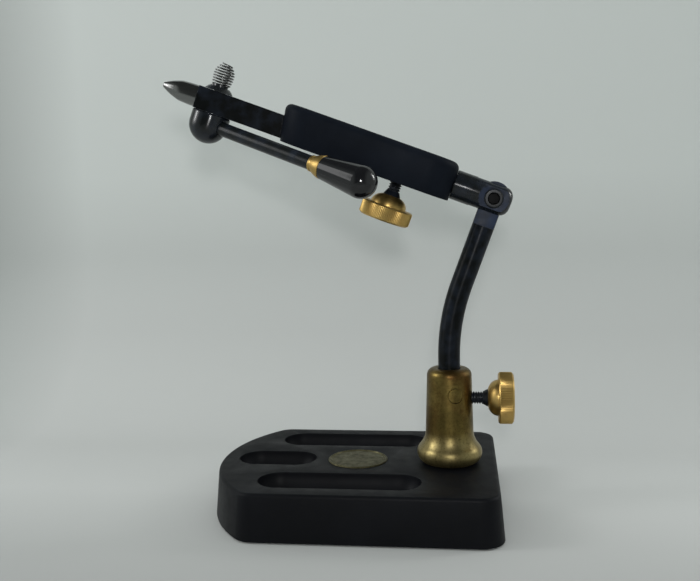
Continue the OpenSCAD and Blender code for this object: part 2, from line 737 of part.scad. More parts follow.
module cam_cap() color(gloss_black) at_cam() translate([0, 0, cam_high]) difference() {
    rotate_extrude() cap_profile();
    translate([0, 0, -over]) cylinder(r = cam_journal_r, h = cap_t + spigot[1] + over * 2);
}

module lever_rod() color(gloss_black) along_lever() translate([0, 0, lever_root])
    cylinder(r = lever_rod_r, h = handle_far + rod_in_handle - lever_root);

module lever_ferrule() color(bright_brass) along_lever() translate([0, 0, ferrule_at]) difference() {
    cylinder(r1 = ferrule_r[0], r2 = ferrule_r[1], h = ferrule_l);
    translate([0, 0, -over]) cylinder(r = lever_rod_r, h = ferrule_l + over * 2);
}

module lever_handle() color(gloss_black) along_lever() translate([0, 0, handle_far]) difference() {
    rotate_extrude() {
        polygon([
            [0, 0],
            [ferrule_r[1], 0],
            [handle_r * cos(handle_slope), handle_l + handle_r * sin(handle_slope)],
            [0, handle_l]]);
        intersection() {
            translate([0, handle_l]) circle(r = handle_r);
            square([handle_r, handle_l + handle_r]);
        }
    }
    translate([0, 0, -over]) cylinder(r = lever_rod_r, h = rod_in_handle + over);
}

// One unbroken wire of rings and triangles along its middle line
module coil(line, wire) {
    last = len(line) - 1;
    n = wire_sides;
    polyhedron(
        points = [for (i = [0 : last]) each ring(line, i, wire)],
        faces = concat(
            [for (k = [1 : n - 2]) [0, k, k + 1]],
            [for (i = [0 : last - 1]) for (k = [0 : n - 1])
                let (a = i * n + k, b = i * n + (k + 1) % n) [a, a + n, b + n]],
            [for (i = [0 : last - 1]) for (k = [0 : n - 1])
                let (a = i * n + k, b = i * n + (k + 1) % n) [a, b + n, b]],
            [for (k = [1 : n - 2]) [last * n, last * n + k + 1, last * n + k]]));
}

material_line = coil_line(spring_curls, spring_r, spring_h, spring_wire, false);
heel_line = coil_line(heel_curls, [heel_spring_r, heel_spring_r, heel_spring_r],
    2 * (heel_pocket_y - run_fit), heel_wire, true);
echo(material_spring_least_gap = least_gap(material_line, spring_wire));
echo(heel_spring_least_gap = least_gap(heel_line, heel_wire));

module material_spring() color(steel) at_cam() translate([0, 0, cam_high + cap_t])
    coil(material_line, spring_wire);

module jaw_heel_spring() color(steel) at_pivot()
    translate([-heel_spring_s, run_fit - heel_pocket_y, -jaw_drop]) rotate([-90, 0, 0])
        coil(heel_line, heel_wire);

base_casting();
base_medallion();
base_pad();
column_screw();
stem_column();
column_clamp_tip();
column_clamp_knob();
column_clamp_stud();
stem_end_pad();
stem();
pivot_fork();
pivot_screw();
head_block();
jaw_dowels();
jaw_heel_spring();
head_lock_tip();
head_lock_knob();
head_lock_stud();
jaw_left();
jaw_right();
cam_shaft();
cam_knuckle();
cam_cap();
material_spring();
lever_rod();
lever_ferrule();
lever_handle();
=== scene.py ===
"""The looks of a rotary fly tying vise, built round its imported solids."""
import json
from contextlib import contextmanager
from math import acos, asin, atan2, cos, degrees, hypot, pi, radians, sin, sqrt, tan

import bmesh
import bpy
from bpy.props import FloatProperty, FloatVectorProperty, IntProperty, PointerProperty
from bpy.types import Operator, Panel, PropertyGroup
from mathutils import Matrix, Vector


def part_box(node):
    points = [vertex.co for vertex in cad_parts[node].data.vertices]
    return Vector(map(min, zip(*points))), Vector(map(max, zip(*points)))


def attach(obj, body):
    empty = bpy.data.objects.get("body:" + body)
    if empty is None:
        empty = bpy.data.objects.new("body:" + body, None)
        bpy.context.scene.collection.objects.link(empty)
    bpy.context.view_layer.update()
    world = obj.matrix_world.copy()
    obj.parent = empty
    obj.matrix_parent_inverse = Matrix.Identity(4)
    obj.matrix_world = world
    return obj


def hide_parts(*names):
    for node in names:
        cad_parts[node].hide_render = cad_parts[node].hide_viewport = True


bl_info = {
    "name": "Fly Tying Vise",
    "version": (1, 0, 0),
    "blender": (4, 5, 0),
    "location": "3D View > Sidebar > Vise",
    "description": "Builds the finished pieces of a rotary fly tying vise",
    "category": "Add Mesh",
}

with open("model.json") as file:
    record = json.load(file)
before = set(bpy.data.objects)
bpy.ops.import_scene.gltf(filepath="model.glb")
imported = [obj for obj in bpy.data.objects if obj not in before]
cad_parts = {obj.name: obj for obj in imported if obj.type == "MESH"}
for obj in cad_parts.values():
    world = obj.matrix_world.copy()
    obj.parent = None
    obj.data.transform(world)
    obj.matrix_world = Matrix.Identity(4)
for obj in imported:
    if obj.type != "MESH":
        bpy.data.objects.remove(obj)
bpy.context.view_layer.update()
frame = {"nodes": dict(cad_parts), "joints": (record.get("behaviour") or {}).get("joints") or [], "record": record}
MM = 0.001
# Points nearer to each other than this are one point
MERGE = 0.000002
# The play of a screw or a shaft in its hole
PLAY = 0.05 * MM
JOINTS = {joint["name"]: joint for joint in frame["joints"]}
BODIES = frame["record"]["behaviour"]["bodies"]
NODE_BODY = {node: body for body, nodes in BODIES.items() for node in nodes}
THREAD_PITCH = 2 * pi / frame["record"]["behaviour"]["couplings"][0]["ratio"]
# How deep the pivot screw's head sits in the fork's flat
SCREW_SEAT = 1.2 * MM

# The head's own space: x runs forward along the shaft, y towards the viewer and z up through the block
FORWARD = Vector(JOINTS["head_spin"]["axis"]).normalized()
UP = -Vector(JOINTS["lever_swing"]["axis"]).normalized()
PIVOT = Vector(JOINTS["head_tilt"]["pos_m"])
HEAD = Matrix.Translation(PIVOT) @ Matrix((FORWARD, UP.cross(FORWARD), UP)).transposed().to_4x4()
# A round piece is made about Z: these turn it onto X, onto Y or upside down
ONTO_X = Matrix.Rotation(pi / 2, 4, "Y")
ONTO_Y = Matrix.Rotation(-pi / 2, 4, "X")
TOWARDS_VIEWER = Matrix.Rotation(pi / 2, 4, "X")
UPSIDE_DOWN = Matrix.Rotation(pi, 4, "X")


def box_in(space, node):
    """The lowest and highest corners of a CAD node, measured in a space of its own."""
    points = [space.inverted() @ corner.co for corner in frame["nodes"][node].data.vertices]
    low = Vector(min(point[axis] for point in points) for axis in range(3))
    high = Vector(max(point[axis] for point in points) for axis in range(3))
    return low, high


def in_head(point):
    """A point of the frame, in the head's own space."""
    return HEAD.inverted() @ Vector(point)


CAM = in_head(JOINTS["lever_swing"]["pos_m"])
LOCK = in_head(JOINTS["head_knob_turn"]["pos_m"])
DOWEL = in_head(JOINTS["jaw_right_swing"]["pos_m"])
# The two clamp screws' own spaces, with the knob up along Z
CLAMPS = {
    "column_clamp": Matrix.Translation(JOINTS["column_knob_turn"]["pos_m"]) @ ONTO_X,
    "head_lock": HEAD @ Matrix.Translation(LOCK) @ UPSIDE_DOWN,
}


def a_length(name, text, value):
    """A size for the sidebar, given in millimetres."""
    return FloatProperty(name=name, description=text, default=value * MM, unit="LENGTH")


def an_angle(name, text, value):
    """An angle for the sidebar, given in degrees."""
    return FloatProperty(name=name, description=text, default=radians(value), subtype="ANGLE")


def a_colour(name, text, value):
    """A colour for the sidebar."""
    return FloatVectorProperty(name=name, description=text, default=value, subtype="COLOR")


def axis_of(space):
    """The direction of a space's own Z."""
    return space.to_3x3() @ Vector((0, 0, 1))


class VISE_PG_base(PropertyGroup):
    """Sizes of the base."""

    end_bulge: a_length("End Bulge", "Depth of the rounded left end", 19.5)
    draft: a_length("Draft", "How far the sides lean out below", 1.8)
    corner: a_length("Right Corners", "Radius of the right corners", 8)
    left_corner: a_length("Left Corners", "Radius of the left corners", 8)
    edge: a_length("Top Edge", "Rounding of the top edge", 1.4)
    trough: a_length("Trough Radius", "Radius of the troughs", 9.7)
    rim: a_length("Trough Rim", "Rounding of the troughs' rims", 0.35)
    middle_start: a_length("Middle Start", "Left end of the middle trough from the base's", 7.4)
    middle_length: a_length("Middle Length", "Length of the middle trough", 35)
    side_start: a_length("Side Start", "Left end of the side troughs from the base's", 22.2)
    side_length: a_length("Side Length", "Length of the side troughs", 68.5)
    side_out: a_length("Side Distance", "Distance of the side troughs from the middle", 29.7)


class VISE_PG_column(PropertyGroup):
    """Sizes of the column and the stem."""

    bead: a_length("Bead", "Radius of the bead at the foot", 4.6)
    flare: a_length("Flare", "Radius of the hollow curve above the bead", 10.2)
    low_radius: a_length("Low Radius", "Radius where the hollow curve ends", 10.4)
    high_radius: a_length("High Radius", "Radius at the top", 9.7)
    edge: a_length("Top Edge", "Rounding of the top edge", 3)
    bore_floor: a_length("Bore Floor", "Thickness below the bore", 7.9)
    plug: a_length("Plug", "Radius of the plugged hole in front", 3.2)
    plug_height: a_length("Plug Height", "Height of the plugged hole", 51.5)
    plug_turn: an_angle("Plug Turn", "Angle of the plugged hole from the front", 16)
    bend_height: a_length("Bend Height", "Height at which the stem bends", 67.2)
    bend_radius: a_length("Bend Radius", "Radius of the stem's bend", 90)
    bend: an_angle("Bend", "Angle of the stem's bend", 20.3)
    shoulder: a_length("Shoulder", "Distance from the pivot down to the tang's shoulder", 12.4)
    tang: a_length("Tang", "Thickness of the tang", 3.2)
    tang_end: a_length("Tang End", "Radius of the tang's top", 7.2)


class VISE_PG_knob(PropertyGroup):
    """Sizes of the two thumb knobs."""

    hub: a_length("Hub", "Length of the rounded hub", 4.6)
    hub_small: a_length("Hub Start", "Radius where the hub begins", 3.9)
    hub_large: a_length("Hub End", "Radius where the hub ends", 7.9)
    hub_curve: a_length("Hub Curve", "Radius of the hub's curve", 5)
    chamfer: a_length("Chamfer", "Chamfer of the rim", 0.8)
    knurls: IntProperty(name="Knurls", description="Ridges round the rim", default=96, min=20, max=240)
    knurl_depth: a_length("Knurl Depth", "Depth of the knurling", 0.25)
    face: a_length("Face", "Radius of the sunk face", 4.2)
    stud: a_length("Stud", "Radius of the threaded stud", 2.75)
    collar: a_length("Collar", "Length of the stud's flared collar", 2.1)


class VISE_PG_head(PropertyGroup):
    """Sizes of the head."""

    corner: a_length("Block Corners", "Radius of the block's upright corners", 12.7)
    edge: a_length("Block Edge", "Rounding of the block's top edge", 3.2)
    underside: a_length("Block Length", "Length of the block along its underside", 75.9)
    lean: an_angle("Front Lean", "How far the block's front leans forward", 9)
    fork_end: a_length("Fork End", "Rounding of the fork's rear end", 4)
    fork_front: a_length("Fork Front", "Length of the fork in front of the pivot", 17.75)
    shaft: a_length("Shaft", "Radius of the shaft in the block", 3.97)
    flat: a_length("Fork Flat", "Distance of the fork's flats from the middle", 4.4)
    slot: a_length("Fork Slot", "Half the width of the fork's slot", 1.7)
    slot_front: a_length("Slot Front", "Depth of the slot in front of the pivot", 9)
    nose: a_length("Nose", "Distance from the pivot to the jaws' round nose", 134.4)
    barrel: a_length("Barrel", "Length of the nose's barrel", 8.4)
    cone_radius: a_length("Cone", "Radius where the nose's cone begins", 4.4)
    cone_curve: a_length("Cone Curve", "Radius of the cone's swelling outline", 29)
    tip: a_length("Tip", "Radius of the jaws' tip", 1.3)
    jaw_gap: a_length("Jaw Gap", "Gap between the jaws behind the nose", 1)
    cam_slot: a_length("Cam Slot", "Half the length of the slot round the cam", 3)
    cam_width: a_length("Cam Width", "Half the width of the slot round the cam", 1.85)


class VISE_PG_lever(PropertyGroup):
    """Sizes of the cam, the lever and the spring."""

    knuckle: a_length("Knuckle", "Radius of the knuckle", 8.4)
    angle: an_angle("Lever Angle", "Angle of the closed lever from the head", 25)
    rod: a_length("Rod", "Radius of the lever's rod", 3)
    ferrule_at: a_length("Ferrule", "Distance from the cam to the ferrule", 57.8)
    ferrule_length: a_length("Ferrule Length", "Length of the ferrule", 6.3)
    ferrule_small: a_length("Ferrule Start", "Radius of the ferrule's small end", 3.4)
    ferrule_large: a_length("Ferrule End", "Radius of the ferrule's large end", 4.9)
    handle: a_length("Handle Length", "Length from the ferrule to the ball's middle", 18.5)
    ball: a_length("Ball", "Radius of the handle's ball end", 6.7)
    wire: a_length("Spring Wire", "Diameter of the spring's wire", 0.6)
    curls: IntProperty(name="Spring Curls", description="Curls of the spring", default=8, min=3, max=9)
    spring: FloatVectorProperty(
        name="Spring Radii", description="Radii at the spring's foot, belly and top",
        default=(3.75 * MM, 4.3 * MM, 1.9 * MM), size=3, unit="LENGTH")
    dome: a_length("Cap Dome", "Radius of the cap's dome", 7.5)
    seat: a_length("Spring Seat", "Height of the spring's seat on the cap", 2)
    spigot: a_length("Spigot", "Radius of the spigot inside the spring", 3.3)


class VISE_PG_finish(PropertyGroup):
    """Colours of the finishes."""

    paint: a_colour("Black Paint", "Satin black coat of the base", (0.0025, 0.0028, 0.0040))
    block: a_colour("Block Paint", "Blue black coat of the block", (0.0048, 0.0062, 0.0094))
    flats: a_colour("Flats", "Blued steel of the milled flats", (0.019, 0.029, 0.057))
    brass: a_colour("Brass", "Bright turned brass", (0.57, 0.383, 0.128))
    tarnish: a_colour("Tarnish", "Brown tarnish of the column", (0.130, 0.095, 0.029))
    bronze: a_colour("Bronze", "Dark bronze of the medallion", (0.115, 0.105, 0.058))
    oxide: a_colour("Black Oxide", "Blackened steel", (0.006, 0.0072, 0.0076))
    steel: a_colour("Steel", "Bright steel", (0.52, 0.52, 0.51))
    floor: a_colour("Floor", "Table under the vise", (0.450, 0.456, 0.450))
    backdrop: a_colour("Backdrop", "Backdrop behind the vise", (0.545, 0.563, 0.552))


GROUPS = {
    "vise_base": VISE_PG_base,
    "vise_column": VISE_PG_column,
    "vise_knob": VISE_PG_knob,
    "vise_head": VISE_PG_head,
    "vise_lever": VISE_PG_lever,
    "vise_finish": VISE_PG_finish,
}


def take(piece):
    """Makes a piece the only selected and the active object."""
    bpy.ops.object.select_all(action="DESELECT")
    piece.select_set(True)
    bpy.context.view_layer.objects.active = piece


def add(operator, name, **settings):
    """Adds one primitive while nothing else is selected, and names it."""
    bpy.ops.object.select_all(action="DESELECT")
    operator(**settings)
    piece = bpy.context.object
    piece.name = name
    piece.data.name = name
    return piece


@contextmanager
def editing(piece, start="DESELECT"):
    """Edit mode on one piece, with nothing selected at the start, or all with SELECT."""
    take(piece)
    bpy.ops.object.mode_set(mode="EDIT")
    bpy.ops.mesh.select_mode(type="VERT")
    bpy.ops.mesh.select_all(action=start)
    yield
    bpy.ops.object.mode_set(mode="OBJECT")


def middle(item):
    """The middle of a vertex, an edge or a face."""
    if isinstance(item, bmesh.types.BMVert):
        return item.co
    corners = [corner.co for corner in item.verts]
    return sum(corners, Vector()) / len(corners)


def pick(piece, kind, test):
    """Selects, in edit mode, just the vertices, edges or faces that pass a test."""
    bpy.ops.mesh.select_mode(type=kind)
    bpy.ops.mesh.select_all(action="DESELECT")
    mesh = bmesh.from_edit_mesh(piece.data)
    mesh.normal_update()
    items = {"VERT": mesh.verts, "EDGE": mesh.edges, "FACE": mesh.faces}[kind]
    chosen = [item for item in items if test(item)]
    if not chosen:
        raise RuntimeError(f"{piece.name}: no {kind.lower()} passes the test")
    for item in chosen:
        item.select_set(True)
    mesh.select_flush_mode()
    bmesh.update_edit_mesh(piece.data)


def level_with(height):
    """A test for edges that lie at one height."""
    return lambda edge: all(abs(corner.co.z - height) < MERGE for corner in edge.verts)


def on_flat(distance):
    """A test for the flat faces at a distance from the middle plane, on either side."""
    return lambda face: abs(face.normal.y) > 0.99 and abs(abs(middle(face).y) - distance) < 0.1 * MM


def draw_out(way):
    """Draws the selection out, in edit mode."""
    bpy.ops.mesh.extrude_region_move(TRANSFORM_OT_translate={"value": way})


def bevel(piece, test, width, segments):
    """Rounds the edges of a piece that pass a test."""
    with editing(piece):
        pick(piece, "EDGE", test)
        bpy.ops.mesh.bevel(offset=width, segments=segments, affect="EDGES", clamp_overlap=True)


def use(piece, kind, **settings):
    """Adds a modifier to a piece, sets it and applies it."""
    take(piece)
    modifier = piece.modifiers.new(kind.title(), kind)
    for name, value in settings.items():
        setattr(modifier, name, value)
    bpy.ops.object.modifier_apply(modifier=modifier.name)


def ease_edges(piece, width, sharp):
    """Rounds every edge of a piece that is sharper than an angle in degrees."""
    use(piece, "BEVEL", width=width, segments=3, limit_method="ANGLE", angle_limit=radians(sharp))


def cut(piece, *cutters, operation="DIFFERENCE"):
    """Cuts a piece with others, which are used up."""
    for cutter in cutters:
        use(piece, "BOOLEAN", object=cutter, operation=operation, solver="EXACT")
        bpy.data.objects.remove(cutter)


def settle(piece, space=Matrix()):
    """Moves a piece into a space, with its place in its mesh and its object at the origin."""
    take(piece)
    bpy.context.view_layer.update()
    piece.matrix_world = space @ piece.matrix_world
    bpy.ops.object.transform_apply(location=True, rotation=True, scale=True)
    return piece


def block(name, low, high):
    """A box between two corners."""
    low, high = Vector(low), Vector(high)
    piece = add(bpy.ops.mesh.primitive_cube_add, name, size=1, location=(low + high) / 2)
    piece.scale = high - low
    return settle(piece)


def rod(name, radius, start, end, space=Matrix(), sides=96):
    """A plain cylinder along its own Z, from a start to an end height."""
    piece = add(bpy.ops.mesh.primitive_cylinder_add, name, radius=radius, depth=end - start, vertices=sides,
                location=(0, 0, (start + end) / 2))
    return settle(piece, space)


def line(name, points):
    """One vertex at the first point, drawn out to each next point."""
    piece = add(bpy.ops.mesh.primitive_plane_add, name, size=MM)
    with editing(piece, "SELECT"):
        bpy.ops.mesh.merge(type="CENTER")
        bpy.ops.mesh.select_all(action="SELECT")
        bpy.ops.transform.translate(value=points[0])
        for here, there in zip(points, points[1:]):
            draw_out(Vector(there) - Vector(here))
    return piece


def drawn(name, points, height):
    """A flat face with an outline of (x, y) points at a height, facing up."""
    piece = line(name, [(x, y, height) for x, y in (*points, points[0])])
    with editing(piece, "SELECT"):
        bpy.ops.mesh.remove_doubles(threshold=MERGE)
        bpy.ops.mesh.edge_face_add()
        mesh = bmesh.from_edit_mesh(piece.data)
        mesh.normal_update()
        if any(face.normal.z < 0 for face in mesh.faces):
            bpy.ops.mesh.flip_normals()
    return piece


def merge(piece, other):
    """Joins another piece's mesh to a piece."""
    bpy.ops.object.select_all(action="DESELECT")
    other.select_set(True)
    piece.select_set(True)
    bpy.context.view_layer.objects.active = piece
    bpy.ops.object.join()
    return piece


def close_up(piece):
    """Merges doubles and points every face outwards."""
    with editing(piece, "SELECT"):
        bpy.ops.mesh.remove_doubles(threshold=MERGE)
        bpy.ops.mesh.normals_make_consistent(inside=False)
    return piece


def turned(name, outline, space=Matrix(), sides=96):
    """A round solid: an outline of (radius, height) points from axis to axis, spun about Z."""
    piece = line(name, [(radius, 0, height) for radius, height in outline])
    with editing(piece, "SELECT"):
        bpy.ops.mesh.spin(steps=sides, angle=2 * pi, center=(0, 0, 0), axis=(0, 0, 1), use_auto_merge=False)
    close_up(piece)
    return settle(piece, space)


def arc(radius, height, curve, start, end, steps):
    """Outline points round a middle, from a start to an end angle in degrees."""
    return [(radius + curve * cos(radians(start + (end - start) * i / steps)),
             height + curve * sin(radians(start + (end - start) * i / steps))) for i in range(steps + 1)]


def through_two(small, large, curve, steps):
    """Outline points on a curve of one radius that bulges outwards between two outline points."""
    chord = Vector(large) - Vector(small)
    back = sqrt(curve * curve - (chord.length / 2) ** 2)
    centre = (Vector(small) + Vector(large)) / 2 + Vector((-chord.y, chord.x)).normalized() * back
    start = degrees(atan2(small[1] - centre.y, small[0] - centre.x))
    end = degrees(atan2(large[1] - centre.y, large[0] - centre.x))
    return arc(centre.x, centre.y, curve, start, end, steps)


def wire(name, points, radius, space=Matrix()):
    """A round wire along a list of points."""
    curve = bpy.data.curves.new(name, "CURVE")
    curve.dimensions = "3D"
    curve.bevel_depth = radius
    curve.bevel_resolution = 3
    curve.use_fill_caps = True
    spline = curve.splines.new("POLY")
    spline.points.add(len(points) - 1)
    for place, point in zip(spline.points, points):
        place.co = (*point, 1)
    piece = bpy.data.objects.new(name, curve)
    bpy.context.scene.collection.objects.link(piece)
    take(piece)
    bpy.ops.object.convert(target="MESH")
    return settle(bpy.context.object, space)


def dress(piece, material, *nodes, smooth=32):
    """Finishes a piece: smooth shading, its material, its body and the CAD nodes that it stands for."""
    take(piece)
    bpy.ops.object.shade_smooth_by_angle(angle=radians(smooth))
    if material:
        piece.data.materials.clear()
        piece.data.materials.append(material)
    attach(piece, NODE_BODY[nodes[0]])
    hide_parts(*nodes)
    return piece


def second_finish(piece, material, test):
    """Gives the faces that pass a test a material of their own."""
    piece.data.materials.append(material)
    with editing(piece):
        pick(piece, "FACE", test)
        piece.active_material_index = len(piece.data.materials) - 1
        bpy.ops.object.material_slot_assign()


class Nodes:
    """A node tree, with a short call for each kind of node that it needs."""

    def __init__(self, tree):
        self.tree = tree

    def feed(self, socket, value):
        """Links another node's output to an input, or writes a value there."""
        if isinstance(value, bpy.types.NodeSocket):
            self.tree.links.new(value, socket)
        else:
            socket.default_value = value

    def set(self, node, **values):
        """Feeds a node's inputs, whose names are written with underscores."""
        for name, value in values.items():
            self.feed(node.inputs[name.replace("_", " ")], value)
        return node

    def new(self, kind, **values):
        """Adds a node and feeds its inputs."""
        return self.set(self.tree.nodes.new(kind), **values)

    def parts(self, vector):
        """The three parts of a vector."""
        return self.new("ShaderNodeSeparateXYZ", Vector=vector).outputs

    def ramp(self, factor, low, high, start=0.0, end=1.0, curve="LINEAR"):
        """A value that goes from start to end as a factor goes from low to high."""
        node = self.new("ShaderNodeMapRange", Value=factor, From_Min=low, From_Max=high,
                        To_Min=start, To_Max=end)
        node.interpolation_type = curve
        return node.outputs["Result"]

    def math(self, operation, *values):
        """Values put together."""
        node = self.new("ShaderNodeMath")
        node.operation = operation
        for socket, value in zip(node.inputs, values):
            self.feed(socket, value)
        return node.outputs[0]


class Finish(Nodes):
    """A material in the making."""

    def __init__(self, name, colour, roughness, metallic=0.0, **sockets):
        self.material = bpy.data.materials.new(name)
        self.material.use_nodes = True
        self.material.diffuse_color = (*colour, 1)
        super().__init__(self.material.node_tree)
        self.shader = self.tree.nodes["Principled BSDF"]
        self.set(self.shader, Base_Color=(*colour, 1), Roughness=roughness, Metallic=metallic, **sockets)
        self.place = self.new("ShaderNodeTexCoord").outputs["Object"]
        self.last_normal = None

    def stretched(self, scale=(1, 1, 1), turn=(0, 0, 0)):
        """The piece's own coordinates, turned and stretched."""
        node = self.new("ShaderNodeMapping", Vector=self.place, Scale=scale, Rotation=turn)
        return node.outputs["Vector"]

    def noise(self, scale, detail, roughness=0.55, place=None):
        """Cloudy noise from 0 to 1. scale counts features in a metre."""
        node = self.new("ShaderNodeTexNoise", Vector=place or self.place, Scale=scale, Detail=detail,
                        Roughness=roughness)
        return node.outputs["Fac"]

    def clouds(self, scale, detail, low, high, start=0.0, end=1.0):
        """Noise that goes from start to end between two of its levels."""
        return self.ramp(self.noise(scale, detail), low, high, start, end)

    def mix(self, factor, first, second):
        """A colour between two."""
        node = self.new("ShaderNodeMix")
        node.data_type = "RGBA"
        self.set(node, Factor=factor)
        for socket, value in ((node.inputs[6], first), (node.inputs[7], second)):
            self.feed(socket, value if isinstance(value, bpy.types.NodeSocket) else (*value, 1))
        return node.outputs[2]

    def edged(self, ground, bright, width, share, spots=None):
        """A ground colour that brightens along sharp outer edges, all along them or in spots."""
        rounded = self.new("ShaderNodeBevel", Radius=width)
        rounded.samples = 4
        flat = self.new("ShaderNodeNewGeometry").outputs["Normal"]
        turn = self.new("ShaderNodeVectorMath")
        turn.operation = "DOT_PRODUCT"
        self.feed(turn.inputs[0], rounded.outputs["Normal"])
        self.feed(turn.inputs[1], flat)
        wear = self.ramp(turn.outputs["Value"], 0.99, 0.85)
        if spots:
            wear = self.math("MULTIPLY", wear, spots)
        return self.mix(self.math("MULTIPLY", wear, share), ground, bright)

    def grooves(self, along):
        """Draws the shine out along an axis, as the fine grooves of a lathe do."""
        axis = self.new("ShaderNodeCombineXYZ")
        for socket, part in zip(axis.inputs, along):
            socket.default_value = part
        turned_axis = self.new("ShaderNodeVectorTransform", Vector=axis.outputs["Vector"])
        turned_axis.vector_type = "VECTOR"
        turned_axis.convert_from = "OBJECT"
        turned_axis.convert_to = "WORLD"
        self.set(self.shader, Tangent=turned_axis.outputs["Vector"])

    def bump(self, height, distance):
        """Adds relief of a real height in metres."""
        node = self.new("ShaderNodeBump", Height=height, Distance=distance, Strength=1.0)
        if self.last_normal:
            self.set(node, Normal=self.last_normal)
        self.last_normal = node.outputs["Normal"]
        self.set(self.shader, Normal=self.last_normal)

    def tint(self, colour):
        """Sets the colour all over."""
        self.set(self.shader, Base_Color=colour)

    def rough(self, value):
        """Sets the roughness all over."""
        self.set(self.shader, Roughness=value)


def lighter(colour, share):
    """A colour with each part multiplied."""
    return tuple(min(part * share, 1.0) for part in colour)


def satin_paint(name, colour, grain=0.02 * MM, roughness=0.5, shine=0.3):
    """Satin black coat: a fine orange peel, faint clouds of dust and thin wear along the edges."""
    finish = Finish(name, colour, roughness, Specular_IOR_Level=shine)
    dusty = finish.mix(finish.clouds(38, 5, 0.45, 0.75, 0, 0.5), colour, lighter(colour, 2.0))
    spots = finish.clouds(420, 3, 0.48, 0.66)
    finish.tint(finish.edged(dusty, lighter(colour, 6), 0.35 * MM, 0.35, spots))
    finish.rough(finish.clouds(140, 4, 0.3, 0.75, roughness - 0.05, roughness + 0.08))
    finish.bump(finish.noise(2200, 2), grain)
    return finish.material


def tarnished_brass(name, colour, worn_and_highlit_below, along=(0, 0, 1)):
    """Aged turned brass: brown clouds, darker specks and streaks, rubbed patches and a brighter foot of wear and
    painted highlight.
    """
    finish = Finish(name, colour, 0.4, 1.0, Anisotropic=0.3)
    finish.grooves(along)
    red, green, blue = colour
    brown = (red * 0.9, green * 0.66, blue * 0.7)
    pale_foot = (red * 2.6, green * 2.9, blue * 4.2)
    patches = finish.noise(110, 6, 0.65)
    specks = finish.ramp(finish.noise(1100, 4, 0.7), 0.50, 0.66)
    streaks = finish.noise(60, 5, 0.6, finish.stretched(scale=(6, 6, 1)))
    browner = finish.mix(finish.clouds(60, 3, 0.42, 0.62), colour, brown)
    rubbed = finish.mix(finish.ramp(patches, 0.45, 0.72), browner, lighter(colour, 2.0))
    height = finish.parts(finish.place)["Z"]
    # The foot is painted paler: partly worn brass, partly painted highlight where the flare faces up to the light.
    foot = finish.ramp(height, worn_and_highlit_below, worn_and_highlit_below + 5 * MM, 0.8, 0)
    footed = finish.mix(foot, rubbed, pale_foot)
    stained = finish.mix(finish.ramp(streaks, 0.5, 0.8, 0, 0.6), footed, lighter(colour, 0.45))
    finish.tint(finish.mix(finish.math("MULTIPLY", specks, 0.5), stained, lighter(colour, 0.4)))
    finish.rough(finish.ramp(patches, 0.3, 0.7, 0.5, 0.34))
    finish.bump(finish.noise(1300, 5), 0.006 * MM)
    return finish.material


def bright_brass(name, colour, along=(0, 0, 1)):
    """Turned brass: fine lathe lines, a slight brown film and brighter edges."""
    finish = Finish(name, colour, 0.4, 1.0, Anisotropic=0.5)
    finish.grooves(along)
    film = finish.mix(finish.clouds(160, 4, 0.42, 0.72, 0, 0.5), colour, lighter(colour, 0.55))
    finish.tint(finish.edged(film, lighter(colour, 1.3), 0.2 * MM, 0.5))
    finish.rough(finish.clouds(500, 3, 0.3, 0.7, 0.36, 0.46))
    finish.bump(finish.noise(2000, 2), 0.001 * MM)
    return finish.material


def cast_bronze(name, colour):
    """Dark patina in clouds and rubbed bronze along the edges, where fingers reach."""
    finish = Finish(name, colour, 0.5, 1.0)
    clouds = finish.noise(300, 6, 0.65)
    patina = finish.mix(finish.ramp(clouds, 0.35, 0.7), lighter(colour, 0.6), lighter(colour, 1.5))
    finish.tint(finish.edged(patina, lighter(colour, 2.2), 0.3 * MM, 0.6))
    finish.rough(finish.ramp(clouds, 0.3, 0.7, 0.6, 0.42))
    finish.bump(finish.noise(1400, 5), 0.01 * MM)
    return finish.material


def black_steel(name, colour, roughness, along=None, shine=0.45):
    """Blackened steel: faint blue clouds in the oxide and thin bright edges."""
    blue, bare = (0.010, 0.013, 0.020), (0.16, 0.17, 0.19)
    finish = Finish(name, colour, roughness, Specular_IOR_Level=shine, Anisotropic=0.7 if along else 0.0)
    if along:
        finish.grooves(along)
    oxide = finish.mix(finish.clouds(160, 5, 0.42, 0.7), colour, blue)
    finish.tint(finish.edged(oxide, bare, 0.2 * MM, 0.5, finish.clouds(700, 3, 0.4, 0.62)))
    finish.rough(finish.clouds(420, 4, 0.3, 0.7, roughness - 0.04, roughness + 0.06))
    finish.bump(finish.noise(1800, 3), 0.0015 * MM)
    return finish.material


def ground_steel(name, colour, roughness=0.2, along=FORWARD):
    """Bright ground steel: fine rings square to the axis that it was turned about."""
    finish = Finish(name, colour, roughness, 1.0, Anisotropic=0.5)
    finish.grooves(along)
    turn = Vector(along).rotation_difference(Vector((0, 0, 1))).to_euler()
    lines = finish.noise(900, 3, 0.6, finish.stretched(scale=(0.05, 0.05, 6), turn=tuple(turn)))
    finish.tint(finish.mix(finish.ramp(lines, 0.3, 0.7), lighter(colour, 0.92), lighter(colour, 1.05)))
    finish.rough(finish.ramp(lines, 0.3, 0.7, roughness - 0.02, roughness + 0.04))
    finish.bump(lines, 0.0003 * MM)
    return finish.material


def gloss_black(name, colour=(0.005, 0.005, 0.006)):
    """Polished black resin with faint hair scratches."""
    finish = Finish(name, colour, 0.09, Specular_IOR_Level=0.52)
    finish.rough(finish.clouds(300, 4, 0.3, 0.7, 0.06, 0.14))
    finish.bump(finish.noise(500, 3, 0.6, finish.stretched(scale=(0.15, 1, 0.3))), 0.001 * MM)
    return finish.material


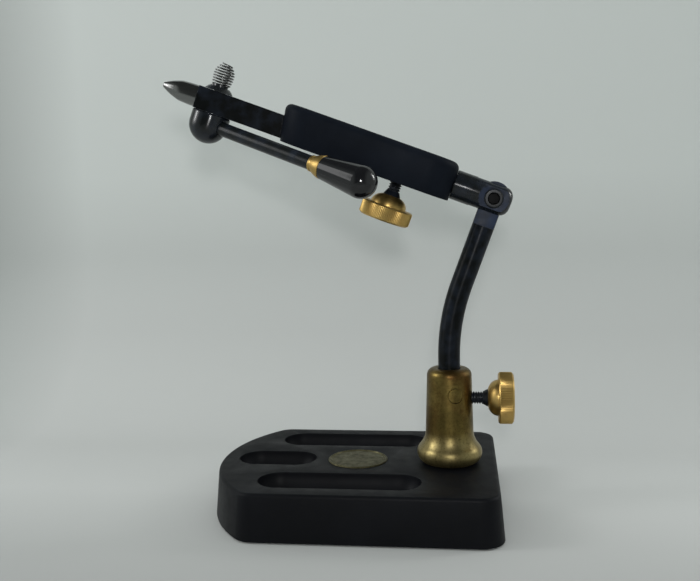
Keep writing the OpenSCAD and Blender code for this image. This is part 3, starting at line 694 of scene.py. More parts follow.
def plain_finish(name, colour, roughness, metallic, scale, relief):
    """A finish for pieces that hardly show: clouds in colour and gloss, and a little relief."""
    finish = Finish(name, colour, roughness, metallic)
    clouds = finish.noise(scale, 5)
    finish.tint(finish.mix(finish.ramp(clouds, 0.35, 0.7), lighter(colour, 0.8), lighter(colour, 1.15)))
    finish.rough(finish.ramp(clouds, 0.3, 0.7, roughness - 0.06, roughness + 0.08))
    finish.bump(clouds, relief)
    return finish.material


class VISE_OT_base(Operator):
    """Builds the black base with its troughs"""

    bl_idname = "vise.base"
    bl_label = "Base"

    def execute(self, context):
        sizes, colours = context.scene.vise_base, context.scene.vise_finish
        low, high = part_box("base_casting")
        pad_low, pad_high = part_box("base_pad")
        half_length, half_width = high.x - sizes.draft, high.y - sizes.draft
        piece = drawn("base", self.outline(sizes, half_length, half_width), low.z)
        with editing(piece, "SELECT"):
            bpy.ops.mesh.inset(thickness=sizes.draft, depth=high.z - low.z)
            pick(piece, "EDGE", lambda edge: edge.is_boundary)
            bpy.ops.mesh.edge_face_add()
        close_up(piece)
        foot_edge, pad_rim = sizes.edge / 3, 0.1 * MM
        bevel(piece, level_with(high.z), sizes.edge, 6)
        bevel(piece, level_with(low.z), foot_edge, 2)
        with editing(piece):
            pick(piece, "FACE", lambda face: face.normal.z < -0.99)
            bpy.ops.mesh.inset(thickness=high.x - pad_high.x - foot_edge - pad_rim)
            draw_out((0, 0, pad_high.z - low.z))
        self.sink_troughs(piece, sizes, -half_length, high.z)
        paint = satin_paint("base_coat", colours.paint, 0.03 * MM, shine=0.12)
        dress(piece, paint, "base_casting", smooth=25)
        return {"FINISHED"}

    def outline(self, sizes, half_length, half_width):
        """The foot's outline: the right corners, the left corners and the bulging end between them."""
        end_radius = (half_width ** 2 + sizes.end_bulge ** 2) / (2 * sizes.end_bulge)
        end_x = end_radius - half_length
        corner_y = half_width - sizes.left_corner
        corner_x = end_x - sqrt((end_radius - sizes.left_corner) ** 2 - corner_y ** 2)
        meet = degrees(atan2(corner_y, corner_x - end_x))
        right_x, right_y = half_length - sizes.corner, half_width - sizes.corner
        half = arc(right_x, right_y, sizes.corner + sizes.draft, 0, 90, 12)
        half += arc(corner_x, corner_y, sizes.left_corner + sizes.draft, 90, meet, 12)
        half += arc(end_x, 0, end_radius + sizes.draft, meet, 180, 24)[1:]
        return half + [(x, -y) for x, y in reversed(half[:-1])]

    def sink_troughs(self, piece, sizes, left, top):
        """Sinks the troughs and the medallion's recess, and rounds their rims."""
        for start, length, out in ((sizes.middle_start, sizes.middle_length, 0),
                                   (sizes.side_start, sizes.side_length, sizes.side_out),
                                   (sizes.side_start, sizes.side_length, -sizes.side_out)):
            place = (left + start + sizes.trough, out, top)
            ball = add(bpy.ops.mesh.primitive_uv_sphere_add, "trough", segments=72, ring_count=36,
                       radius=sizes.trough, location=place, rotation=(0, pi / 2, 0))
            settle(ball)
            with editing(ball):
                pick(ball, "FACE", lambda face: middle(face).x > place[0])
                draw_out((length - 2 * sizes.trough, 0, 0))
            cut(piece, ball)
        low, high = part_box("base_medallion")
        axis = Matrix.Translation(((low.x + high.x) / 2, 0, 0))
        cut(piece, rod("recess", (high.x - low.x) / 2 + PLAY, low.z, top + MM, axis))
        at_top = level_with(top)

        def is_rim(edge):
            steep = any(face.normal.z < 0.5 for face in edge.link_faces)
            return at_top(edge) and len(edge.link_faces) == 2 and steep

        bevel(piece, is_rim, sizes.rim, 3)


class VISE_OT_medallion(Operator):
    """Builds the bare round plate in the base"""

    bl_idname = "vise.medallion"
    bl_label = "Medallion"

    def execute(self, context):
        low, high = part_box("base_medallion")
        radius, thick = (high.x - low.x) / 2, high.z - low.z
        ease = 0.15 * MM
        rim, sunk, groove = 1.1 * MM, 0.35 * MM, radius * 0.86
        field = thick - sunk
        outline = [(0, 0), (radius, 0), (radius, thick - ease * 2)]
        outline += arc(radius - rim / 2, thick - rim / 2, rim / 2, 20, 160, 10)
        outline += [(radius - rim - ease, field), (groove + ease, field), (groove, field - ease)]
        outline += [(groove - ease, field)]
        for out, rise in ((0.8, 0.06 * MM), (0.4, 0.12 * MM), (0, 0.14 * MM)):
            outline.append((groove * out, field + rise))
        piece = turned("medallion", outline, Matrix.Translation(((low.x + high.x) / 2, 0, low.z)), 128)
        bronze = cast_bronze("bronze", context.scene.vise_finish.bronze)
        dress(piece, bronze, "base_medallion")
        return {"FINISHED"}


class VISE_OT_column(Operator):
    """Builds the brass column"""

    bl_idname = "vise.column"
    bl_label = "Column"

    def execute(self, context):
        sizes = context.scene.vise_column
        low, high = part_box("stem_column")
        axis = Matrix.Translation(((low.x + high.x) / 2, 0, 0))
        stem_low, stem_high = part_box("stem_end_pad")
        bore, mouth = (stem_high.x - stem_low.x) / 2 + PLAY, 0.5 * MM
        bead_out = (high.x - low.x) / 2 - sizes.bead
        foot_cut = 0.1 * MM
        bead_height = low.z + sizes.bead - foot_cut
        flare_out = sizes.low_radius + sizes.flare
        climb = sqrt((sizes.bead + sizes.flare) ** 2 - (flare_out - bead_out) ** 2)
        meet = degrees(atan2(climb, flare_out - bead_out))
        below = low.z - bead_height
        floor_angle = degrees(atan2(below, sqrt(sizes.bead ** 2 - below ** 2)))
        outline = [(0, low.z)]
        outline += arc(bead_out, bead_height, sizes.bead, floor_angle, meet, 24)
        outline += arc(flare_out, bead_height + climb, sizes.flare, 180 + meet, 180, 14)[1:]
        outline += arc(sizes.high_radius - sizes.edge, high.z - sizes.edge, sizes.edge, 0, 90, 10)
        outline += arc(bore + mouth, high.z - mouth, mouth, 90, 180, 4)
        outline += [(bore, low.z + sizes.bore_floor), (0, low.z + sizes.bore_floor)]
        piece = turned("column", outline, axis, 128)
        at_screw = axis @ Matrix.Translation((0, 0, CLAMPS["column_clamp"].translation.z)) @ ONTO_X
        hole = context.scene.vise_knob.stud + PLAY
        cut(piece, rod("hole", hole, bore, sizes.low_radius * 2, at_screw, 64))
        groove_depth, half_groove = 0.6 * MM, 0.2 * MM
        deep, out = sizes.high_radius - groove_depth, sizes.low_radius * 1.5
        inner, outer = sizes.plug - half_groove, sizes.plug + half_groove
        ring = [(inner, deep), (outer, deep), (outer, out), (inner, out), (inner, deep)]
        at_plug = axis @ Matrix.Translation((0, 0, sizes.plug_height))
        at_plug = at_plug @ Matrix.Rotation(sizes.plug_turn, 4, "Z") @ TOWARDS_VIEWER
        cut(piece, turned("ring", ring, at_plug, 64))
        # Below this height the column is painted paler: partly worn brass, partly painted highlight.
        worn_and_highlit_below = 30 * MM
        brass = tarnished_brass("column_brass", context.scene.vise_finish.tarnish, worn_and_highlit_below)
        dress(piece, brass, "stem_column", smooth=35)
        return {"FINISHED"}


class VISE_OT_knobs(Operator):
    """Builds the two knurled thumb knobs"""

    bl_idname = "vise.knobs"
    bl_label = "Thumb Knobs"

    def execute(self, context):
        sizes = context.scene.vise_knob
        for clamp, space in CLAMPS.items():
            node = f"{clamp}_knob"
            low, high = box_in(space, node)
            piece = self.knob(clamp.split("_")[0] + "_thumb_knob", sizes, high.z, high.x)
            brass = bright_brass(f"{clamp}_brass", context.scene.vise_finish.brass, axis_of(space))
            dress(settle(piece, space), brass, node, smooth=28)
        return {"FINISHED"}

    def knob(self, name, sizes, length, radius):
        """One knob along Z, its hub at the start and its knurled rim at the end."""
        fillet, ease, lip, slope = 0.25 * MM, 0.1 * MM, 0.15 * MM, 0.5 * MM
        dish, centre, point = length - 0.6 * MM, length - 1.2 * MM, length - 1.4 * MM
        first, last = sizes.hub + fillet * 2, length - sizes.chamfer
        outline = [(0, 0), (sizes.hub_small - fillet, 0)]
        outline += through_two((sizes.hub_small, fillet / 2), (sizes.hub_large, sizes.hub - fillet),
                               sizes.hub_curve, 12)
        outline += [(sizes.hub_large, sizes.hub), (radius - fillet * 2, sizes.hub)]
        outline += [(radius - sizes.knurl_depth, first - fillet / 2)]
        outline += [(radius, first), (radius, last)]
        outline += [(radius - sizes.knurl_depth, last + fillet), (radius - sizes.chamfer, length - ease)]
        outline += [(radius - sizes.chamfer - lip, length), (sizes.face + fillet, length)]
        outline += [(sizes.face, length - ease), (sizes.face - slope, dish)]
        outline += [(sizes.face * 0.35, dish), (sizes.face * 0.22, centre), (0, point)]
        columns = sizes.knurls * 2
        piece = turned(name, outline, sides=columns)

        def is_low(corner):
            if abs(hypot(corner.co.x, corner.co.y) - radius) > MERGE:
                return False
            return round(atan2(corner.co.y, corner.co.x) / (2 * pi / columns)) % 2 == 1

        with editing(piece):
            pick(piece, "VERT", is_low)
            bpy.ops.transform.shrink_fatten(value=-sizes.knurl_depth)
        return piece


class VISE_OT_studs(Operator):
    """Builds the two threaded studs"""

    bl_idname = "vise.studs"
    bl_label = "Threaded Studs"

    def execute(self, context):
        sizes = context.scene.vise_knob
        steel = black_steel("stud_steel", lighter(context.scene.vise_finish.oxide, 0.5), 0.3, shine=0.3)
        for clamp, space in CLAMPS.items():
            node = f"{clamp}_stud"
            low, high = box_in(space, node)
            overlap, ease = 0.1 * MM, 0.15 * MM
            piece = self.thread(f"{clamp}_thread", sizes.stud, low.z, -sizes.collar + overlap)
            shank = sizes.stud - overlap
            outline = [(0, -sizes.collar), (sizes.stud, -sizes.collar), (high.x, -ease), (high.x - ease, 0)]
            outline += [(shank, 0), (shank, high.z), (0, high.z)]
            merge(piece, turned("collar", outline, sides=64))
            dress(settle(piece, space), steel, node, smooth=40)
        return {"FINISHED"}

    def thread(self, name, radius, start, end):
        """A thread along Z: one tooth's outline wound up, then cut flat and closed at both ends."""
        root, crest = radius - THREAD_PITCH * 0.55, THREAD_PITCH * 0.12
        turns = int((end - start) / THREAD_PITCH) + 3
        foot = start - THREAD_PITCH * 1.5
        peak = foot + THREAD_PITCH / 2
        tooth = [(root, 0, foot), (root, 0, foot + crest), (radius, 0, peak), (radius, 0, peak + crest)]
        piece = line(name, tooth + [(root, 0, foot + THREAD_PITCH)])
        use(piece, "SCREW", angle=2 * pi, screw_offset=THREAD_PITCH, iterations=turns, steps=40,
            render_steps=40, use_merge_vertices=True, merge_threshold=MERGE)
        with editing(piece):
            for height, at_start in ((start, True), (end, False)):
                bpy.ops.mesh.select_all(action="SELECT")
                bpy.ops.mesh.bisect(plane_co=(0, 0, height), plane_no=(0, 0, 1), use_fill=True,
                                    clear_inner=at_start, clear_outer=not at_start)
        return close_up(piece)


class VISE_OT_stem(Operator):
    """Builds the bent stem with its tang"""

    bl_idname = "vise.stem"
    bl_label = "Stem"

    def execute(self, context):
        sizes, colours = context.scene.vise_column, context.scene.vise_finish
        pad_low, pad_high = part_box("stem_end_pad")
        low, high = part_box("stem")
        radius, chamfer, edge = high.y, 0.6 * MM, 0.22 * MM
        axis_x = (pad_low.x + pad_high.x) / 2
        piece = add(bpy.ops.mesh.primitive_circle_add, "stem_rod", vertices=72, radius=radius - chamfer,
                    fill_type="NGON", location=(axis_x, 0, low.z))
        top = Matrix.Translation(PIVOT) @ Matrix.Rotation(sizes.bend, 4, "Y")
        bend_end = Vector((axis_x + sizes.bend_radius * (1 - cos(sizes.bend)), 0,
                           sizes.bend_height + sizes.bend_radius * sin(sizes.bend)))
        with editing(piece, "SELECT"):
            draw_out((0, 0, chamfer))
            grow = radius / (radius - chamfer)
            bpy.ops.transform.resize(value=(grow, grow, 1), center_override=(axis_x, 0, low.z + chamfer))
            draw_out((0, 0, sizes.bend_height - low.z - chamfer))
            bpy.ops.mesh.spin(steps=24, angle=-sizes.bend, axis=(0, 1, 0),
                              center=(axis_x + sizes.bend_radius, 0, sizes.bend_height))
            reach = (PIVOT - bend_end).length + sizes.tang_end
            draw_out(axis_of(top) * reach)
        close_up(settle(piece))
        wide = radius * 3
        for side in (-1, 1):
            near, far = sorted((side * sizes.tang / 2, side * wide))
            cheek = block("cheek", (-wide, near, -sizes.shoulder), (wide, far, wide))
            cut(piece, settle(cheek, top))
        crown = block("crown", (-wide, -wide, 0), (wide, wide, wide))
        cut(crown, rod("round_end", sizes.tang_end, -wide * 2, wide * 2, ONTO_Y))
        cut(piece, settle(crown, top))
        ease_edges(piece, edge, 40)
        steel = black_steel("stem_steel", lighter(colours.oxide, 0.5), 0.36, (0, 0, 1), shine=0.09)
        dress(piece, steel, "stem", smooth=35)
        flats = black_steel("tang_steel", colours.flats, 0.42, shine=0.13)
        second_finish(piece, flats, on_flat(sizes.tang / 2))
        return {"FINISHED"}


class VISE_OT_fork(Operator):
    """Builds the fork on the head's shaft"""

    bl_idname = "vise.fork"
    bl_label = "Fork"

    def execute(self, context):
        sizes, colours = context.scene.vise_head, context.scene.vise_finish
        low, high = box_in(HEAD, "pivot_fork")
        radius, back = high.y, low.x
        ease, edge, hole, seat_play = 0.35 * MM, 0.2 * MM, 2.45 * MM, 0.12 * MM
        outline = [(0, back)]
        outline += arc(radius - sizes.fork_end, back + sizes.fork_end, sizes.fork_end, -90, 0, 14)
        outline += [(radius, sizes.fork_front - ease), (radius - ease, sizes.fork_front)]
        outline += [(sizes.shaft, sizes.fork_front), (sizes.shaft, high.x - ease)]
        outline += [(sizes.shaft - ease, high.x), (0, high.x)]
        piece = turned("fork", outline, ONTO_X, 96)
        far = radius * 2
        cutters = [block("slot", (back - far, -sizes.slot, -far), (sizes.slot_front, sizes.slot, far))]
        for space in (ONTO_Y, TOWARDS_VIEWER):
            cutters.append(rod("spot_face", radius + PLAY, sizes.flat, far, space, 96))
        seat_low, seat_high = box_in(HEAD, "pivot_screw")
        seat = (seat_high.x - seat_low.x) / 2 + seat_play
        cutters.append(rod("seat", seat, sizes.flat - SCREW_SEAT, far, ONTO_Y, 64))
        cutters.append(rod("hole", hole, -far, far, ONTO_Y, 48))
        cut(piece, *cutters)
        ease_edges(piece, edge, 38)
        settle(piece, HEAD)
        steel = black_steel("fork_steel", lighter(colours.oxide, 0.9), 0.24, FORWARD, shine=0.34)
        dress(piece, steel, "pivot_fork", smooth=35)
        flats = black_steel("cheek_steel", colours.flats, 0.42, shine=0.13)
        second_finish(piece, flats, on_flat(sizes.flat))
        return {"FINISHED"}


def socket_screw(name, head, height, shank, length, socket, depth):
    """A cap screw along Z: its head below zero with a hexagon socket, and its shank above."""
    ease, chamfer = 0.35 * MM, 0.1 * MM
    outline = [(0, -height), (head - ease * 1.6, -height)]
    outline += arc(head - ease, -height + ease, ease, -70, 0, 4)
    outline += [(head, -chamfer), (head - chamfer, 0), (shank, 0)]
    outline += [(shank, length - ease), (shank - ease, length), (0, length)]
    piece = turned(name, outline, sides=96)
    inside = socket / 2
    hexagon = rod("hexagon", inside / cos(pi / 6), -height - MM, -height + depth, sides=6)
    mouth = add(bpy.ops.mesh.primitive_cone_add, "mouth", vertices=48, radius1=inside * 1.32,
                radius2=inside * 0.9, depth=socket * 0.2, location=(0, 0, -height + socket * 0.08))
    cut(piece, hexagon, settle(mouth))
    return piece


class VISE_OT_pivot_screw(Operator):
    """Builds the screw through the fork"""

    bl_idname = "vise.pivot_screw"
    bl_label = "Pivot Screw"

    def execute(self, context):
        sizes = context.scene.vise_head
        low, high = box_in(HEAD, "pivot_screw")
        seat, shank = sizes.flat - SCREW_SEAT, 2.415 * MM
        socket, depth, around_socket = 4.1 * MM, 1.9 * MM, 2.75 * MM
        piece = socket_screw("cap_screw", high.x, high.y - seat, shank, seat - low.y, socket, depth)
        settle(piece, HEAD @ Matrix.Translation((0, seat, 0)) @ TOWARDS_VIEWER)
        steel = black_steel("screw_steel", context.scene.vise_finish.oxide, 0.34, shine=0.2)
        dress(piece, steel, "pivot_screw")
        pivot = HEAD.to_translation()

        def in_socket(face):
            place = middle(face)
            away = place - pivot - Vector((0, place.y, 0))
            return place.y < -seat and away.length < around_socket

        # The faces inside the socket are painted near black: painted shade in the recess.
        second_finish(piece, satin_paint("socket_painted_shade", (0.001, 0.001, 0.0012), shine=0.1), in_socket)
        return {"FINISHED"}


class VISE_OT_block(Operator):
    """Builds the head's block"""

    bl_idname = "vise.block"
    bl_label = "Block"

    def execute(self, context):
        sizes = context.scene.vise_head
        low, high = box_in(HEAD, "head_block")
        front = low.x + sizes.underside
        piece = block("block", low, (front, high.y, high.z))

        def in_front_on_top(edge):
            return all(v.co.x > front - MERGE and v.co.z > high.z - MERGE for v in edge.verts)

        with editing(piece):
            pick(piece, "EDGE", in_front_on_top)
            bpy.ops.transform.translate(value=((high.z - low.z) * tan(sizes.lean), 0, 0))
        bevel(piece, lambda edge: abs(edge.verts[0].co.z - edge.verts[1].co.z) > MM, sizes.corner, 20)
        bevel(piece, level_with(high.z), sizes.edge, 8)
        foot_edge, half_width, floor, roof = 0.3 * MM, 4.8 * MM, -5.35 * MM, 2.35 * MM
        bevel(piece, level_with(low.z), foot_edge, 2)
        heel_low, heel_high = box_in(HEAD, "jaw_right")
        heel_play, stud, cone = 0.6 * MM, context.scene.vise_knob.stud + PLAY, 0.5 * MM
        cavity = block("cavity", (heel_low.x - heel_play, -half_width, floor),
                       (high.x + MM, half_width, roof))
        hole_end, bore_end, pin, pin_depth = -3 * MM, 61 * MM, 1.25 * MM, 0.1 * MM
        hole = rod("hole", stud, low.z - MM, hole_end, Matrix.Translation((LOCK.x, 0, 0)), 64)
        mouth = add(bpy.ops.mesh.primitive_cone_add, "mouth", vertices=64, radius1=stud + cone,
                    radius2=stud - cone, depth=MM, location=(LOCK.x, 0, low.z + 0.2 * MM))
        bore = rod("bore", sizes.shaft + PLAY, low.x - MM, bore_end, ONTO_X, 64)
        cut(piece, cavity, hole, settle(mouth), bore)
        for side in (-1, 1):
            at_pin = Matrix.Translation((DOWEL.x, side * abs(DOWEL.y), 0))
            cut(piece, rod("pin_hole", pin, low.z - MM, low.z + pin_depth, at_pin, 32))
        settle(piece, HEAD)
        paint = satin_paint("block_coat", context.scene.vise_finish.block, 0.045 * MM, 0.48, 0.03)
        dress(piece, paint, "head_block", smooth=25)
        return {"FINISHED"}


class VISE_OT_jaws(Operator):
    """Builds the two jaw halves"""

    bl_idname = "vise.jaws"
    bl_label = "Jaws"

    def execute(self, context):
        sizes = context.scene.vise_head
        colours = context.scene.vise_finish
        bar_steel = black_steel("bar_steel", lighter(colours.oxide, 0.5), 0.36, shine=0.08)
        nose_steel = ground_steel("nose_steel", lighter(colours.steel, 0.4), 0.15)
        near = self.jaw("jaw_near", sizes, bar_steel, nose_steel)
        take(near)
        bpy.ops.object.duplicate(linked=False)
        far = bpy.context.object
        far.name = "jaw_far"
        settle(far, Matrix.Scale(-1, 4, (0, 1, 0)))
        close_up(far)
        for piece, node in ((near, "jaw_left"), (far, "jaw_right")):
            dress(settle(piece, HEAD), None, node, smooth=30)
        return {"FINISHED"}

    def jaw(self, name, sizes, bar_steel, nose_steel):
        """The jaw on the viewer's side, in the head's own space."""
        low, high = box_in(HEAD, "jaw_left")
        block_low, block_high = box_in(HEAD, "head_block")
        shut, wide, relief = low.y, high.y, sizes.jaw_gap / 2
        rake = tan(sizes.lean)
        block_front = block_low.x + sizes.underside + (low.z - block_low.z) * rake
        bar_gap, heel_overlap, gap_end, nip = 0.3 * MM, 3 * MM, 1.5 * MM, 0.12 * MM
        bar_back = block_front + bar_gap / cos(sizes.lean)
        centre = (low.z + high.z) / 2
        bar = block(name, (bar_back, shut, low.z), (sizes.nose, wide, high.z))

        def at_back_on_top(edge):
            return all(v.co.x < bar_back + MM and v.co.z > centre for v in edge.verts)

        with editing(bar):
            pick(bar, "EDGE", at_back_on_top)
            bpy.ops.transform.translate(value=((high.z - low.z) * rake, 0, 0))
        heel_width, half_height, edge = 3.9 * MM, 3.75 * MM, 0.25 * MM
        heel = block("heel", (low.x, relief, centre - half_height),
                     (bar_back + heel_overlap, relief + heel_width, centre + half_height))
        cut(bar, heel, operation="UNION")
        below, above, inside = low.z - MM, high.z + MM, -MM
        gap = block("relief", (low.x - MM, inside, below), (sizes.nose - gap_end, relief, above))
        cam_slot = block("cam_slot", (CAM.x - sizes.cam_slot, inside, below),
                         (CAM.x + sizes.cam_slot, sizes.cam_width, above))
        cut(bar, gap, cam_slot)
        ease_edges(bar, edge, 60)
        bar.data.materials.append(bar_steel)
        barrel, end, steps = sizes.barrel, high.x - sizes.nose, 8
        root, cone, ease = -0.4 * MM, sizes.cone_radius, 0.4 * MM
        outline = [(0, root), (wide, root)]
        outline += [(wide - (wide - cone) * (i / steps) ** 2, barrel * i / steps) for i in range(steps)]
        outline += through_two((cone, barrel), (sizes.tip, end - ease), sizes.cone_curve, 8)
        outline += [(sizes.tip - nip, end - nip), (sizes.tip - ease, end), (0, end)]
        nose = turned("nose", outline, Matrix.Translation((sizes.nose, 0, centre)) @ ONTO_X, 96)
        with editing(nose, "SELECT"):
            bpy.ops.mesh.bisect(plane_co=(0, shut, 0), plane_no=(0, 1, 0), use_fill=True, clear_inner=True)
        close_up(nose)
        nose.data.materials.append(nose_steel)
        return merge(bar, nose)


class VISE_OT_cam(Operator):
    """Builds the knuckle and the cap of the cam"""

    bl_idname = "vise.cam"
    bl_label = "Cam Knuckle And Cap"

    def execute(self, context):
        sizes = context.scene.vise_lever
        oxide = context.scene.vise_finish.oxide
        axis = HEAD @ Matrix.Translation((CAM.x, 0, 0))
        low, high = box_in(HEAD, "cam_knuckle")
        edge, rod_play = 0.8 * MM, 0.25 * MM
        outline = arc(0, CAM.z, sizes.knuckle, -90, 0, 24)
        outline += arc(sizes.knuckle - edge, high.z - edge, edge, 0, 90, 6) + [(0, high.z)]
        knuckle = turned("knuckle", outline, sides=96)
        seat = Matrix.Translation((0, 0, CAM.z)) @ Matrix.Rotation(-sizes.angle, 4, "Z")
        seat_radius, deep = sizes.rod + rod_play, sizes.knuckle * 0.86
        cut(knuckle, rod("lever_seat", seat_radius, -sizes.knuckle * 2, -deep, seat @ ONTO_X, 48))
        steel = black_steel("knuckle_steel", lighter(oxide, 0.6), 0.2, UP, shine=0.4)
        dress(settle(knuckle, axis), steel, "cam_knuckle")
        low, high = box_in(HEAD, "cam_cap")
        radius, shelf = (high.x - low.x) / 2, low.z + sizes.seat
        sunk = sqrt(sizes.dome ** 2 - radius ** 2)
        start, end = degrees(atan2(sunk, radius)), degrees(asin((sunk + sizes.seat) / sizes.dome))
        ease, lip, hollow, sunk_top = 0.2 * MM, 0.15 * MM, 1.65 * MM, high.z - 0.3 * MM
        outline = [(0, low.z), (radius - lip, low.z)]
        outline += arc(0, low.z - sunk, sizes.dome, start + 1, end, 14)
        outline += [(sizes.spigot, shelf), (sizes.spigot, high.z - ease), (sizes.spigot - ease, high.z)]
        outline += [(hollow, high.z), (hollow, sunk_top), (0, sunk_top)]
        cap = turned("cap", outline, axis, 80)
        dress(cap, black_steel("cap_steel", oxide, 0.24), "cam_cap")
        return {"FINISHED"}


class VISE_OT_spring(Operator):
    """Winds the barrel spring on the cap"""

    bl_idname = "vise.spring"
    bl_label = "Material Spring"

    def execute(self, context):
        sizes = context.scene.vise_lever
        low, high = box_in(HEAD, "material_spring")
        foot, belly, top = sizes.spring
        start, end = low.z + sizes.wire * 1.5, high.z - sizes.wire * 1.15
        steps = sizes.curls * 32
        points = [(foot, 0, low.z), (foot, 0, low.z + sizes.wire)]
        for i in range(steps + 1):
            share, turn = i / steps, -2 * pi * sizes.curls * i / steps
            low_half = share < 0.5
            swell = sin(pi * share) if low_half else cos(pi * (share - 0.5))
            radius = foot + (belly - foot) * swell if low_half else top + (belly - top) * swell
            points.append((radius * cos(turn), radius * sin(turn), start + (end - start) * share))
        piece = wire("barrel_spring", points, sizes.wire / 2, HEAD @ Matrix.Translation((CAM.x, 0, 0)))
        close_up(piece)
        steel = lighter(context.scene.vise_finish.steel, 0.3)
        finish = plain_finish("spring_wire", steel, 0.26, 1.0, 900, 0.003 * MM)
        dress(piece, finish, "material_spring", smooth=60)
        return {"FINISHED"}


class VISE_OT_lever(Operator):
    """Builds the lever with its ferrule and handle"""

    bl_idname = "vise.lever"
    bl_label = "Lever"

    def execute(self, context):
        sizes = context.scene.vise_lever
        colours = context.scene.vise_finish
        turn = Matrix.Rotation(pi - sizes.angle, 4, "Z")
        space = HEAD @ Matrix.Translation(CAM) @ turn @ ONTO_X
        ferrule, handle = sizes.ferrule_at, sizes.ferrule_at + sizes.ferrule_length
        rod_start, in_handle = 3.5 * MM, 8 * MM
        rod_end = handle + in_handle
        outline = [(0, rod_start), (sizes.rod, rod_start), (sizes.rod, rod_end), (0, rod_end)]
        bar = turned("lever_bar", outline, space, 64)
        along = axis_of(space)
        steel = black_steel("bar_oxide", lighter(colours.oxide, 0.7), 0.2, along, shine=0.33)
        dress(bar, steel, "lever_rod")
        small, large = sizes.ferrule_small, sizes.ferrule_large
        # The ferrule: a band at its start, a groove behind it and a swelling curve up to the rim
        ease, band, groove, curve_start, curve = 0.2 * MM, 1.0 * MM, 1.2 * MM, 1.4 * MM, 14 * MM
        outline = [(sizes.rod, ferrule), (small - ease, ferrule), (small, ferrule + ease)]
        outline += [(small, ferrule + band), (small - 0.15 * MM, ferrule + groove)]
        outline += through_two((small - 0.1 * MM, ferrule + curve_start),
                               (large - 0.05 * MM, handle - 0.9 * MM), curve, 10)
        outline += [(large, handle - ease), (large - ease, handle)]
        outline += [(sizes.rod, handle), (sizes.rod, ferrule)]
        collar = turned("collar", outline, space, 80)
        dress(collar, bright_brass("ferrule_brass", colours.brass, along), "lever_ferrule")
        ball = handle + sizes.handle
        reach = hypot(large, sizes.handle)
        slope = degrees(atan2(-sizes.handle, large) + acos(sizes.ball / reach))
        # The handle: a cone that runs smoothly into the ball
        grip_start = handle + PLAY
        outline = [(0, grip_start), (large - ease, grip_start), (large, handle + 0.25 * MM)]
        outline += arc(0, ball, sizes.ball, slope, 90, 28)
        dress(turned("grip", outline, space, 96), gloss_black("handle_resin"), "lever_handle")
        return {"FINISHED"}


class VISE_OT_small_parts(Operator):
    """Gives the small pieces inside their finishes"""

    bl_idname = "vise.small_parts"
    bl_label = "Small Parts"

    def execute(self, context):
        colours = context.scene.vise_finish
        steel = plain_finish("plain_steel", colours.steel, 0.3, 1.0, 700, 0.004 * MM)
        tips = plain_finish("tip_brass", colours.brass, 0.34, 1.0, 500, 0.005 * MM)
        rubber = plain_finish("pad_rubber", (0.025, 0.025, 0.026), 0.82, 0.0, 1500, 0.05 * MM)
        nylon = plain_finish("pad_nylon", (0.70, 0.68, 0.62), 0.5, 0.0, 300, 0.01 * MM)
        finishes = {
            "base_pad": rubber,
            "column_screw": steel,
            "column_clamp_tip": tips,
            "head_lock_tip": tips,
            "stem_end_pad": nylon,
            "jaw_dowels": steel,
            "jaw_heel_spring": steel,
            "cam_shaft": steel,
        }
        for node, material in finishes.items():
            mesh = frame["nodes"][node].data
            mesh.materials.clear()
            mesh.materials.append(material)
        return {"FINISHED"}


